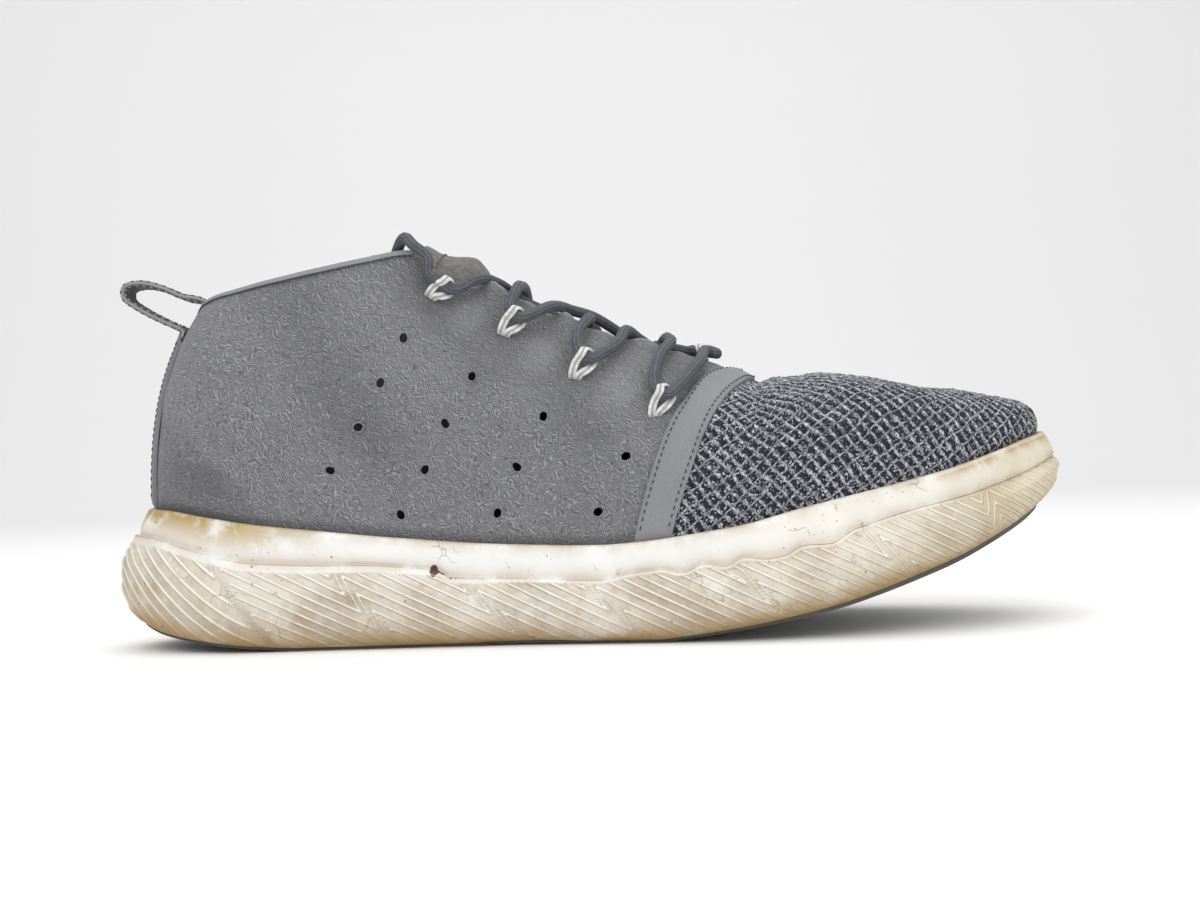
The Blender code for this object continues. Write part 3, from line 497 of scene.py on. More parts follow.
def leather_material(name, colour, shade, strap=False):
    """Smooth leather. A strap also has painted shade on its inner face, and pale edges, which its mesh brings.
    """
    n = Nodes(new_material(name, colour, 0.7, 0.05))
    pale, deep = tuple(min(1.0, c * 1.5) for c in colour), tuple(c * 0.5 for c in colour)
    base = n.mix(n.noise(90, 5, 0.6), shade, colour)
    base = n.over(base, pale, n.ramp(n.noise(1900, 3), 0.50, 0.72, 0.0, 0.22))
    base = n.over(base, deep, n.ramp(n.noise(1700, 2, 0.5, 0.8), 0.30, 0.42, 0.25, 0.0))
    if strap:
        # Painted shade on the strap's inner face
        base = n.over(base, (0.040, 0.041, 0.045), n.attribute("inner"), 0.75)
        base = n.over(base, (0.27, 0.272, 0.285), n.attribute("edge"), 0.8)
    rough = n.ramp(n.noise(300, 3), 0.3, 0.7, 0.62, 0.8)
    return n.finish(base, n.bump(n.noise(2100, 3), 0.3, 0.0003), rough)


def knit_material():
    n = Nodes(new_material("knit", (0.08, 0.09, 0.12), 0.9))
    course, wale, busy = (n.attribute(a) for a in ("course", "wale", "busy"))
    shake = n.product(n.math("SUBTRACT", n.noise(700, 2), 0.5), 0.28)
    course, wale = n.math("ADD", course, shake), n.math("SUBTRACT", wale, shake)
    near_course, near_wale = (n.math("PINGPONG", way, 0.5) for way in (course, wale))
    # Yarn: thin along the courses, thick along the wales, and short teeth between them
    thin = n.product(n.fall(near_course, 0.025, 0.085), n.ramp(n.noise(420, 2), 0.36, 0.56, 0.35, 1.0))
    swell = n.math("SUBTRACT", near_wale, n.product(near_course, 0.34))
    thick = n.product(n.fall(swell, -0.01, 0.06), n.ramp(n.noise(520, 2), 0.34, 0.54, 0.30, 1.0))
    teeth = n.ramp(n.math("PINGPONG", n.product(course, 4.0), 0.5), 0.20, 0.34)
    teeth = n.product(teeth, n.fall(near_wale, 0.20, 0.34), n.ramp(n.noise(900, 2), 0.42, 0.62), 0.8)
    yarn = n.math("MAXIMUM", n.math("MAXIMUM", thin, thick), teeth)
    # Dark pockets between the yarns, with painted shade deepest at one corner of each cell, and stray flecks
    across = n.math("ADD", n.math("FRACT", course), n.math("FRACT", wale))
    # Painted shade, deepest at one corner of each pocket
    deep = n.ramp(n.math("PINGPONG", n.math("SUBTRACT", across, 0.75), 1.0), 0.15, 0.60)
    pocket = n.mix(deep, (0.0095, 0.0125, 0.0205), (0.0018, 0.0024, 0.0046))
    pocket = n.over(pocket, (0.048, 0.057, 0.080), n.ramp(n.noise(1500, 2), 0.50, 0.66, 0.0, 0.4))
    flecks = n.ramp(n.noise(1250, 1, 0.5, 0.6), 0.60, 0.67)
    pocket = n.over(pocket, (0.46, 0.47, 0.50), flecks, busy)
    thread = n.mix(n.ramp(n.noise(1500, 2), 0.35, 0.65), (0.145, 0.156, 0.182), (0.55, 0.56, 0.585))
    height = n.math("ADD", yarn, n.product(n.noise(2200, 2), 0.5))
    return n.finish(n.mix(yarn, pocket, thread), n.bump(height, 0.6, 0.0004))


def midsole_material():
    n = Nodes(new_material("midsole", (0.80, 0.76, 0.66), 0.55))
    phase, ribs, dirt, ochre, yellow, crack, low = (
        n.attribute(a) for a in ("phase", "ribs", "dirt", "ochre", "yellow", "crack", "low")
    )
    # Foam: the plain rand, and the ribbed wall with tan valleys, grey scuffs and pale crests
    crest = n.product(n.fall(n.math("PINGPONG", phase, 0.5), 0.09, 0.17), ribs)
    plain = n.mix(n.noise(55, 4, 0.6), (0.71, 0.70, 0.675), (0.86, 0.86, 0.85))
    valley = n.mix(n.ramp(n.noise(42, 6, 0.68), 0.36, 0.64), (0.36, 0.29, 0.19), (0.68, 0.635, 0.54))
    base = n.mix(n.product(ribs, n.ramp(n.noise(75, 3), 0.25, 0.60, 1.0, 0.75)), plain, valley)
    base = n.over(base, (0.36, 0.325, 0.27), n.ramp(n.noise(26, 5, 0.7), 0.56, 0.70, 0.0, 0.55), ribs)
    base = n.over(base, (0.88, 0.86, 0.81), crest, n.ramp(n.noise(64, 4, 0.6), 0.30, 0.58, 0.62, 0.95))
    # Yellowed toe and heel, grime, the heel's ochre stain and the brown lower rim
    base = n.over(base, (0.60, 0.52, 0.33), yellow)
    base = n.over(base, (0.38, 0.27, 0.13), dirt, n.ramp(n.noise(60, 5, 0.65), 0.30, 0.57))
    base = n.over(base, (0.40, 0.275, 0.09), ochre, n.ramp(n.noise(80, 5, 0.62), 0.33, 0.55))
    base = n.over(base, (0.38, 0.25, 0.09), low, n.ramp(n.noise(70, 4, 0.6), 0.28, 0.62, 0.45, 0.95))
    # Hairline cracks along the edges of bent cells
    bent = n.tree.nodes.new("ShaderNodeVectorMath")
    bent.operation = "MULTIPLY_ADD"
    n.link(n.vector_noise(160), bent.inputs[0])
    bent.inputs[1].default_value = (0.008, 0.008, 0.008)
    n.link(n.place, bent.inputs[2])
    edges = n.fall(n.voronoi(105, "DISTANCE_TO_EDGE", bent.outputs[0]), 0.004, 0.014)
    hairs = n.product(edges, n.ramp(n.noise(85, 2), 0.60, 0.66))
    base = n.over(base, (0.34, 0.24, 0.15), hairs, 0.40)
    # Specks of two kinds: cells to a metre, their size as a share of a cell, and the scale of the patches
    for scale, size, where in ((165, 0.05, 140), (340, 0.07, 48)):
        spots = n.fall(n.voronoi(scale), size, size + 0.03)
        base = n.over(base, (0.21, 0.12, 0.055), spots, n.ramp(n.noise(where, 2), 0.49, 0.55), 0.8)
    ragged = n.product(n.math("SUBTRACT", n.noise(900, 2), 0.5), 1.1)
    split = n.ramp(n.math("ADD", crack, ragged), 0.46, 0.60)
    base = n.over(base, (0.085, 0.045, 0.020), split)
    height = n.math("SUBTRACT", crest, n.math("ADD", hairs, split))
    normal = n.bump(n.noise(420, 4, 0.6), 0.15, 0.0004, n.bump(height, 0.75, 0.0004))
    return n.finish(base, normal, n.ramp(n.noise(60, 3), 0.3, 0.7, 0.42, 0.66))


def rubber_material():
    n = Nodes(new_material("tread_rubber", (0.09, 0.082, 0.076), 0.75))
    base = n.mix(n.noise(120, 5, 0.6), (0.060, 0.052, 0.046), (0.120, 0.107, 0.096))
    base = n.over(base, (0.20, 0.17, 0.135), n.ramp(n.noise(45, 4), 0.55, 0.75, 0.0, 0.6))
    # Painted shade in the grooves between the lugs
    base = n.over(base, (0.022, 0.019, 0.017), n.attribute("groove"))
    return n.finish(base, n.bump(n.noise(900, 4), 0.3, 0.0004))


def cloth_material(name, low, high, scale, strength=0.5):
    n = Nodes(new_material(name, high, 0.9, 0.08))
    base = n.mix(n.ramp(n.noise(scale, 4, 0.65, 0.6), 0.3, 0.7), low, high)
    return n.finish(base, n.bump(n.noise(scale * 1.6, 3), strength, 0.0004))


def braid_material(name, low, high):
    """Cord whose lengthwise strands and crossing picks come from its own attributes."""
    n = Nodes(new_material(name, high, 0.85, 0.05))
    strands, picks = n.attribute("strands"), n.attribute("picks")
    groove = n.fall(n.math("PINGPONG", strands, 0.5), 0.04, 0.20)
    slanted = n.math("ADD", picks, n.product(strands, 0.5))
    pick = n.fall(n.math("PINGPONG", slanted, 0.5), 0.05, 0.25)
    shade = tuple(c * 0.35 for c in low)
    base = n.mix(n.ramp(n.noise(700, 3), 0.3, 0.7), low, high)
    base = n.over(base, shade, groove, 0.75)
    base = n.over(base, shade, pick, 0.25)
    return n.finish(base, n.bump(n.math("ADD", groove, n.product(pick, 0.5)), -0.5, 0.0002))


SUEDE = suede_material()
KNIT = knit_material()
MIDSOLE = midsole_material()
RUBBER = rubber_material()
BAND = leather_material("band_leather", (0.225, 0.228, 0.240), (0.180, 0.183, 0.193))
COLLAR = leather_material("collar_strip", (0.250, 0.253, 0.265), (0.205, 0.208, 0.218))
TAB = leather_material("tab_leather", (0.215, 0.208, 0.205), (0.160, 0.156, 0.155), True)
TONGUE = cloth_material("tongue_nap", (0.085, 0.080, 0.076), (0.170, 0.160, 0.150), 520)
LINING = cloth_material("lining", (0.030, 0.031, 0.036), (0.062, 0.064, 0.073), 900)
INSOLE = cloth_material("insole_cloth", (0.06, 0.062, 0.068), (0.13, 0.132, 0.14), 1100)
LACE = braid_material("lace_braid", (0.070, 0.073, 0.086), (0.110, 0.114, 0.132))
CORD = braid_material("loop_cord", (0.55, 0.55, 0.53), (0.80, 0.80, 0.78))
THREAD = cloth_material("thread", (0.03, 0.032, 0.036), (0.06, 0.062, 0.07), 2000, 0.2)
PALE_THREAD = cloth_material("pale_thread", (0.24, 0.245, 0.255), (0.36, 0.365, 0.38), 2000, 0.2)
FRAY = cloth_material("frayed_nap", (0.130, 0.131, 0.137), (0.250, 0.252, 0.262), 1800, 0.6)


# Meshes

def add_piece(name, mesh, material, slot, *nodes):
    piece = bpy.data.objects.new(name, mesh)
    mesh.materials.append(material)
    bpy.context.scene.collection.objects.link(piece)
    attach(piece, "root")
    if nodes:
        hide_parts(*nodes)
    return piece


def grid_faces(rows, columns, start=0, flip=False, closed=False):
    """Quads of a grid of vertices, row by row. closed joins the last column to the first."""
    faces = []
    last = columns if closed else columns - 1
    for i in range(rows - 1):
        for j in range(last):
            k = (j + 1) % columns
            a, b = start + i * columns + j, start + i * columns + k
            c, d = start + (i + 1) * columns + k, start + (i + 1) * columns + j
            faces.append((a, d, c, b) if flip else (a, b, c, d))
    return faces


def sleeve_faces(rows, columns, start=0):
    """Quads of a closed sleeve of vertices, and a face over each of its ends."""
    end = start + rows * columns
    caps = [tuple(range(start, start + columns))[::-1], tuple(range(end - columns, end))]
    return grid_faces(rows, columns, start, closed=True) + caps


def sole_faces(rows, count):
    """Quads of a sleeve of rings round the sole, and faces from side to side over both of its ends."""
    faces = grid_faces(rows, count, closed=True)
    half = count // 2
    for base in (0, (rows - 1) * count):
        faces.append((base, base + 1, base + count - 1))
        for i in range(1, half - 1):
            faces.append((base + i, base + i + 1, base + count - i - 1, base + count - i))
        faces.append((base + half - 1, base + half, base + half + 1))
    return faces


def mesh_of(name, points, faces, attributes=None, sharp=None):
    mesh = bpy.data.meshes.new(name)
    mesh.from_pydata(np.asarray(points).reshape(-1, 3).tolist(), [], faces)
    for key, values in (attributes or {}).items():
        layer = mesh.attributes.new(key, "FLOAT", "POINT")
        layer.data.foreach_set("value", np.asarray(values, np.float32).reshape(-1))
    mesh.update()
    bm = bmesh.new()
    bm.from_mesh(mesh)
    bmesh.ops.remove_doubles(bm, verts=bm.verts, dist=2e-6)
    bmesh.ops.recalc_face_normals(bm, faces=bm.faces)
    bm.to_mesh(mesh)
    bm.free()
    mesh.shade_smooth()
    if sharp:
        mesh.set_sharp_from_angle(angle=math.radians(sharp))
    return mesh


def band_line(side, v, share):
    """Station of the band at a share of its width, for shares of the section."""
    climb = np.clip((v - RAND_ROW) / (1 - RAND_ROW), 0, 1)
    line = BAND_LATERAL_LINE if side < 0 else BAND_MEDIAL_LINE
    return through(line, climb) + share * through(line, climb, 2)


def tube(name, path, radius, sides, ribs=0, rib_depth=0.0, flat=1.0, pick=0.0009, wide=None):
    """A cord along a path of Vectors, with rounded ends. ribs are lengthwise ridges, pick is the length from
    one crossing thread to the next, and flat squashes the section square to the direction wide."""
    rings = []
    along = (path[1] - path[0]).normalized()
    across = wide or along.cross(Vector((0.3, 0.5, 0.81))).normalized()
    ends = 4
    for i, p in enumerate(path):
        before, after = path[max(i - 1, 0)], path[min(i + 1, len(path) - 1)]
        along = (after - before).normalized()
        base = wide or across
        across = (base - along * base.dot(along)).normalized()
        other = along.cross(across)
        ring = []
        for k in range(sides):
            angle = 2 * math.pi * k / sides
            r = radius * (1 + rib_depth * math.cos(ribs * 2 * math.pi * k / sides))
            ring.append(p + across * math.cos(angle) * r + other * math.sin(angle) * r * flat)
        rings.append(ring)
    for end, inner in ((0, 1), (-1, -2)):
        middle = path[end]
        direction = (path[end] - path[inner]).normalized()
        caps = []
        for k in range(1, ends):
            turn = math.pi / 2 * k / ends
            out = direction * radius * 0.5 * math.sin(turn)
            caps.append([middle + (q - middle) * math.cos(turn) + out for q in rings[end]])
        rings = caps[::-1] + rings if end == 0 else rings + caps
    points = [list(q) for ring in rings for q in ring]
    grid = np.array(points).reshape(len(rings), sides, 3)
    steps = np.linalg.norm(np.diff(grid.mean(axis=1), axis=0), axis=1)
    picks = np.concatenate([[0.0], np.cumsum(steps)]) / pick
    strands = np.abs(np.arange(sides) / sides - 0.5) * 2 * (ribs / 2) + 0.5
    tags = {
        "strands": np.broadcast_to(strands[None, :], grid.shape[:2]),
        "picks": np.broadcast_to(picks[:, None], grid.shape[:2]),
    }
    return mesh_of(name, points, sleeve_faces(len(rings), sides), tags)


def smooth_path(points, step):
    """Points along a curve through the given ones, about a step apart."""
    ends = [points[0] * 2 - points[1]] + points + [points[-1] * 2 - points[-2]]
    path = []
    for a, b, c, d in zip(ends, ends[1:], ends[2:], ends[3:]):
        ta, tb = (c - b).length ** 0.5, (b - a).length ** 0.5 or 1e-4
        tc = (d - c).length ** 0.5 or 1e-4
        left = ((b - a) / tb - (c - a) / (tb + ta) + (c - b) / ta) * ta
        right = ((c - b) / ta - (d - b) / (ta + tc) + (d - c) / tc) * ta
        count = max(1, round((c - b).length / step))
        for i in range(count):
            u = i / count
            path.append(
                b * (2 * u**3 - 3 * u**2 + 1) + left * (u**3 - 2 * u**2 + u)
                + c * (3 * u**2 - 2 * u**3) + right * (u**3 - u**2)
            )
    return path + [points[-1]]


# Suede quarters

# Soft creases: side, ends as x and z in millimetres from the heel end, half width and depth in millimetres
CREASES = (
    (-1, 14, 70, 34, 52, 6, 0.5), (-1, 98, 112, 120, 84, 8, 0.7), (-1, 118, 106, 150, 62, 7, 0.6),
    (-1, 140, 94, 158, 70, 5, 0.5), (-1, 160, 84, 186, 52, 7, -0.6), (-1, 60, 104, 84, 60, 12, 0.6),
    (-1, 178, 80, 192, 66, 4, 0.5), (-1, 40, 66, 78, 44, 9, -0.5),
    (1, 16, 72, 40, 50, 7, 0.6), (1, 100, 108, 128, 70, 9, 0.6), (1, 150, 86, 176, 52, 7, 0.6),
    (1, 60, 100, 92, 56, 12, 0.7), (1, 182, 78, 200, 56, 5, 0.5), (1, 46, 60, 80, 46, 8, -0.5),
)

# Vent holes: side, x and z in millimetres from the heel end
HOLES = (
    (-1, 94.9, 93.4), (-1, 87.6, 80.0), (-1, 80.3, 66.9), (-1, 71.2, 54.1), (-1, 115.2, 81.1),
    (-1, 106.7, 67.1),
    (-1, 100.0, 53.4), (-1, 92.1, 40.0), (-1, 136.4, 68.2), (-1, 127.9, 53.3), (-1, 121.5, 39.6),
    (-1, 160.6, 55.4), (-1, 151.8, 39.1),
    (1, 109.5, 95.0), (1, 100.4, 82.3), (1, 91.9, 69.1), (1, 84.6, 54.9), (1, 132.9, 83.5), (1, 124.4, 69.1),
    (1, 115.9, 54.3), (1, 108.3, 40.2), (1, 156.4, 71.2), (1, 147.6, 57.1), (1, 139.3, 41.8),
    (1, 179.3, 58.3), (1, 171.0, 43.6),
)
HOLE_RADIUS = 0.0015
HOLE_RING = 0.0033      # radius of the faint ring pressed in round a hole
HOLE_CORNERS = 22
# Reach out from the hole's edge and height over the suede of the frayed rim's rings, in metres
HOLE_RIM = (
    (-0.00010, -0.00040), (-0.00018, 0.00006), (0.00004, 0.00020), (0.00018, 0.00014), (0.00034, -0.00012),
)


def crease_depth(side, points):
    """How far the creases move the suede out, in metres."""
    x, z = side_view(points)
    total = np.zeros(x.shape)
    for where, x0, z0, x1, z1, width, depth in CREASES:
        if where != side:
            continue
        dx, dz = x1 - x0, z1 - z0
        t = np.clip(((x - x0) * dx + (z - z0) * dz) / (dx * dx + dz * dz), 0, 1)
        away = np.hypot(x - x0 - t * dx, z - z0 - t * dz)
        total -= depth * np.exp(-(away / width) ** 2) * 0.001
    return total


def counter_patch(side, points):
    """How dark the suede is over the stiffener at the heel."""
    x, z = side_view(points)
    if side < 0:
        edge = 62 - 0.020 * (x - 20) ** 2
        return smoothstep(3.0, -8.0, z - edge) * smoothstep(60, 40, x) * 0.30
    edge = 67 - 0.0135 * (x - 22) ** 2
    return smoothstep(1.2, -1.2, z - edge) * smoothstep(66, 60, x) * 0.62


def hole_spots(side):
    """Station, share and seed of each hole on one side, sought by its place in the side view."""
    rounds, steps, finer = 5, 25, 6
    spots = []
    for seed, (where, x, z) in enumerate(HOLES):
        if where != side:
            continue
        s, v, span_s, span_v = 0.35, 0.5, 0.33, 0.48
        for _ in range(rounds):
            grid_s, grid_v = np.meshgrid(
                np.linspace(s - span_s, s + span_s, steps), np.linspace(v - span_v, v + span_v, steps)
            )
            points = upper_point(side, np.clip(grid_s, 0.01, 0.7), np.clip(grid_v, 0.05, 0.99))
            away = np.hypot(points[..., 0] + HEEL_REST - x / 1000, points[..., 2] - z / 1000)
            best = np.unravel_index(np.argmin(away), away.shape)
            s, v = float(np.clip(grid_s[best], 0.01, 0.7)), float(np.clip(grid_v[best], 0.05, 0.99))
            span_s, span_v = span_s / finer, span_v / finer
        spots.append((s, v, seed))
    return spots


def hole_ring(side, s, v, seed, lift):
    """A ragged ring round a hole, its directions out from the hole's middle and the one out of the suede."""
    rng = np.random.default_rng(100 + seed)
    out = upper_normal(side, s, v)
    middle = upper_point(side, s, v) + out * lift
    along = unit(np.cross(np.array([0.0, 0.0, 1.0]), out))
    up = np.cross(out, along)
    angle = 2 * np.pi * np.arange(HOLE_CORNERS) / HOLE_CORNERS
    ragged = 1 + 0.10 * np.sin(2 * angle + rng.uniform(0, 6)) + 0.07 * rng.uniform(-1, 1, HOLE_CORNERS)
    around = along * np.cos(angle)[:, None] + up * np.sin(angle)[:, None]
    return middle + around * (HOLE_RADIUS * ragged)[:, None], around, out


def hole_cutter(side):
    """Plugs through the wall, from well inside it to well outside."""
    points, faces = [], []
    for s, v, seed in hole_spots(side):
        ring, _, out = hole_ring(side, s, v, seed, 0.0)
        faces += sleeve_faces(2, HOLE_CORNERS, len(points))
        points += (ring - out * 0.006).tolist() + (ring + out * 0.003).tolist()
    return mesh_of("holes", points, faces)


def build_hole_rims(side, label):
    """Frayed nap that stands up round each hole."""
    points, faces, corners = [], [], 2 * HOLE_CORNERS
    for s, v, seed in hole_spots(side):
        rng = np.random.default_rng(300 + seed)
        tufts = rng.uniform(0.0, 1.0, corners)
        tufts = np.where(tufts > 0.45, tufts, 0.15)
        rings = []
        for reach, lift in HOLE_RIM:
            ring, around, _ = hole_ring(side, s, v, seed, lift)
            ring, around = np.repeat(ring, 2, axis=0), np.repeat(around, 2, axis=0)
            ring[1::2] = (ring[0::2] + np.roll(ring[0::2], -1, axis=0)) / 2
            spread = max(reach, 0.0) * (0.5 + 1.3 * tufts[:, None]) + min(reach, 0.0)
            rings.append(ring + around * spread)
        faces += grid_faces(len(rings), corners, len(points), closed=True)
        points += np.concatenate(rings).tolist()
    mesh = mesh_of("hole_rims_" + label, points, faces)
    add_piece("hole_rims_" + label, mesh, FRAY, "suede")


def cut_holes(piece, side):
    """Cut the holes through a solidified piece and keep the plain mesh."""
    cutter = bpy.data.objects.new("cutter", hole_cutter(side))
    bpy.context.scene.collection.objects.link(cutter)
    cut = piece.modifiers.new("holes", "BOOLEAN")
    cut.object = cutter
    cut.operation = "DIFFERENCE"
    evaluated = piece.evaluated_get(bpy.context.evaluated_depsgraph_get())
    mesh = bpy.data.meshes.new_from_object(evaluated)
    piece.modifiers.clear()
    piece.data = mesh
    bpy.data.objects.remove(cutter)


# How far the throat's edge stands up in millimetres, by station: it lies down under each crossing of the lace
THROAT_HUMPS = {
    -1: ((0.0, 0.0), (0.330, 0.0), (0.350, 0.6), (0.389, 0.0), (0.408, 2.4), (0.427, 0.0), (0.444, 1.1),
         (0.461, 0.0), (0.4785, 3.0), (0.496, 0.0), (0.513, 1.0), (0.530, 0.0), (0.551, 2.5), (0.572, 0.0),
         (0.589, 0.8), (0.606, 0.0), (1.0, 0.0)),
    1: ((0.0, 0.0), (0.330, 0.0), (0.370, 0.8), (0.397, 0.0), (0.415, 1.6), (0.440, 0.0), (0.463, 1.8),
        (0.490, 0.0), (0.512, 1.6), (0.535, 0.0), (0.560, 1.4), (0.585, 0.0), (1.0, 0.0)),
}
LOOP_DIMPLE = 0.0011
SUEDE_GRID = (230, 104)


def loop_dimples(side, points):
    """How far the suede is drawn in round the foot of each loop, and how it swells between them."""
    total = np.zeros(points.shape[:-1])
    feet = [upper_point(side, s, v) for where, s, v in LOOPS.values() if where == side]
    for foot in feet:
        total -= np.exp(-(np.linalg.norm(points - foot, axis=-1) / 0.0060) ** 2)
    for a, b in zip(feet, feet[1:]):
        middle = (a + b) / 2
        total += 0.8 * np.exp(-(np.linalg.norm(points - middle, axis=-1) / 0.0085) ** 2)
    return total


def hole_rings(side, points):
    """Rings pressed faintly into the suede round the medial holes."""
    total = np.zeros(points.shape[:-1])
    for s, v, seed in hole_spots(side) if side > 0 else ():
        away = np.linalg.norm(points - upper_point(side, s, v), axis=-1)
        total += (0.4 + 0.6 * (seed % 3 == 0)) * np.exp(-((away - HOLE_RING) / 0.0006) ** 2)
    return total


def build_suede():
    rows, columns = SUEDE_GRID
    even = np.linspace(0, 1, rows)[:, None]
    share = (even**2 + 0.3 * even) / 1.3
    for side, label in ((-1, "lateral"), (1, "medial")):
        v = RAND_ROW * 0.55 + (1 - RAND_ROW * 0.55) * np.linspace(0, 1, columns)[None, :]
        s = share * band_line(side, v, 0.55)
        points = upper_point(side, s, v)
        normals = upper_normal(side, s, v)
        dimples = loop_dimples(side, points)
        lift = crease_depth(side, points) + LOOP_DIMPLE * dimples * smoothstep(1.0, 0.94, v)
        lift += 0.00025 * noise(points, 0.024, 4) + 0.00008 * noise(points, 0.006, 5)
        rings = hole_rings(side, points)
        lift -= 0.00012 * rings
        lift *= smoothstep(0.09, 0.2, v) * smoothstep(0.0, 0.03, share)
        edge = smoothstep(0.90, 1.0, v) * (s < THROAT_END)
        outer = points + normals * lift[..., None]
        ragged = 0.22 * noise(points, 0.0022, 6) * (edge > 0.9)
        outer[..., 2] += (through(THROAT_HUMPS[side], s) * edge + ragged) * 0.001
        # Darker heel patch and pressed rings round the holes, painted shadow along the rand, and painted shade
        # round the loops' feet and in the creases
        dark = counter_patch(side, points) + 0.55 * smoothstep(0.124, 0.104, v) + 0.14 * rings
        dark += 0.16 * smoothstep(0.2, -1.0, dimples) * smoothstep(0.0, -0.2, dimples)
        dark += 0.30 * np.clip(-crease_depth(side, points) / 0.0007, 0, 1) + 0.05 * noise(points, 0.05, 7)
        # Paler throat edge, and painted highlight on the swells between the loops
        light = 0.55 * smoothstep(0.986, 0.996, v) * (s > THROAT_TOP) * (s < THROAT_END)
        light += 0.16 * smoothstep(0.15, 0.7, dimples)
        tags = {"dark": np.clip(dark, 0, 1), "light": light}
        mesh = mesh_of("suede_" + label, outer, grid_faces(rows, columns), tags)
        piece = add_piece("suede_" + label, mesh, SUEDE, "suede", "upper")
        mesh.materials.append(LINING)
        wall = piece.modifiers.new("wall", "SOLIDIFY")
        wall.thickness = WALL * 0.9
        wall.offset = -1.0
        wall.use_even_offset = False
        wall.material_offset = 1
        wall.material_offset_rim = 0
        cut_holes(piece, side)
        build_hole_rims(side, label)


# Knitted toe

# Steps along the toe and down the wall, in metres, from one stitch to the next of a course and of a wale
COURSE_STEP = (0.00245, 0.00265)
WALE_STEP = (0.00247, -0.00225)
YARN_RISE = 0.00055
KNIT_GRID = (300, 250)
# Where the knit stands up and sinks in: middle from the heel end and half width in mm, and rise in metres
TOE_FORM = ((236, 14, 0.0011), (279, 9, -0.0011))


def build_knit():
    rows, columns = KNIT_GRID
    share = np.linspace(0, 1, rows)[:, None]
    v = RAND_ROW * 0.50 + (1 - RAND_ROW * 0.50) * np.linspace(0, 1, columns)[None, :]
    (cx, cd), (wx, wd) = COURSE_STEP, WALE_STEP
    area = cx * wd - wx * cd
    for side, label in ((-1, "lateral"), (1, "medial")):
        start = band_line(side, v, 0.5)
        s = start + (1 - start) * np.sin(share * math.pi / 2) ** 0.9
        points = upper_point(side, s, v)
        normals = upper_normal(side, s, v)
        steps = np.linalg.norm(np.diff(points, axis=1), axis=-1)
        across = np.concatenate([np.zeros((rows, 1)), np.cumsum(steps, 1)], 1)
        down = (across[:, -1:] - across) * -side
        foot = upper_point(side, s[:, :1], RAND_ROW)
        arc = np.concatenate([[[0.0]], np.cumsum(np.linalg.norm(np.diff(foot, axis=0), axis=-1), 0)], 0)
        along = points[..., 0] + 0.55 * (arc - (foot[..., 0] - foot[:1, :, 0]))
        wander = 0.13 * noise(points, 0.014, 11) + 0.05 * noise(points, 0.004, 12)
        sway = 0.13 * noise(points, 0.014, 14) + 0.05 * noise(points, 0.004, 15)
        course = (along * wd - wx * down) / area + wander
        wale = (cx * down - cd * along) / area + sway
        thin = smoothstep(0.15, 0.03, from_whole(course))
        thick = smoothstep(0.12, -0.02, from_whole(wale) - 0.34 * from_whole(course))
        busy = 0.35 + 0.65 * np.maximum(smoothstep(0.40, 0.16, v), smoothstep(0.26, 0.05, share + 0 * v))
        rise = YARN_RISE * np.maximum(0.85 * thin, thick) + 0.00016 * noise(points, 0.004, 16)
        body = np.sin(np.pi * np.clip((v - RAND_ROW) / (1 - RAND_ROW), 0, 1)) ** 0.5
        swell = 0.0008 * body * smoothstep(0, 0.06, share) * (1 - 0.9 * smoothstep(0.60, 0.92, v))
        for middle, width, height in TOE_FORM:
            away = (side_view(points)[0] - middle) / width
            swell += height * np.exp(-away**2) * smoothstep(0.30, 0.62, v)
        lift = (rise + swell) * smoothstep(0.09, 0.13, v)
        outer = points + normals * lift[..., None]
        tags = {"course": course, "wale": wale, "busy": busy}
        mesh = mesh_of("knit_" + label, outer, grid_faces(rows, columns), tags)
        add_piece("knit_" + label, mesh, KNIT, "tongue", "upper")
        lining = points[::6, ::6] - normals[::6, ::6] * WALL
        inner = mesh_of("toe_lining_" + label, lining, grid_faces(*lining.shape[:2]))
        add_piece("toe_lining_" + label, inner, LINING, "insole", "upper")


# Overlays

def strip_mesh(name, rows, thick, rounding=0.35, under=0.0001, over=OVERLAY_GAP):
    """A closed strip over the upper from rows of (side, station, share) spots, tucked in behind the rand."""
    side, s, v = np.moveaxis(np.array(rows, float), -1, 0)
    columns = side.shape[1]
    edge = np.minimum(np.arange(columns), np.arange(columns)[::-1])
    drop = rounding * thick * np.interp(edge, (0, 1, 2, 3), (1.0, 0.35, 0.1, 0.0))
    low = above_all(side, s, v, under)
    high = above_all(side, s, v, np.maximum((over + thick - drop) * smoothstep(0.085, 0.120, v), 0.0002))
    points = np.concatenate([low, high[:, ::-1]], axis=1)
    return mesh_of(name, points, sleeve_faces(*points.shape[:2]), sharp=60)


STITCH_WIDTH = 0.00045
# Rings of a stitch: places along it and radii, as shares of its length and of half its width
STITCH_REACH = (-0.5, -0.36, 0.0, 0.36, 0.5)
STITCH_SIZE = (0.25, 0.85, 1.0, 0.85, 0.25)


def stitch_mesh(name, ends, up, length, width=STITCH_WIDTH):
    """Dashes of thread between pairs of neighbouring points, given with the directions out of the cloth."""
    sides = 6
    a, b, up = ends[0::2], ends[1::2], up[0::2]
    along = unit(b - a)
    across = unit(np.cross(along, up))
    angle = 2 * np.pi * np.arange(sides) / sides
    ring = across[:, None] * np.cos(angle)[None, :, None] + up[:, None] * np.sin(angle)[None, :, None]
    middle = ((a + b) / 2)[:, None, None]
    points = middle + along[:, None, None] * (length * np.array(STITCH_REACH))[None, :, None, None]
    points = points + ring[:, None] * (width / 2 * np.array(STITCH_SIZE))[None, :, None, None]
    faces = []
    for k in range(len(a)):
        faces += sleeve_faces(len(STITCH_REACH), sides, k * len(STITCH_REACH) * sides)
    return mesh_of(name, points, faces)


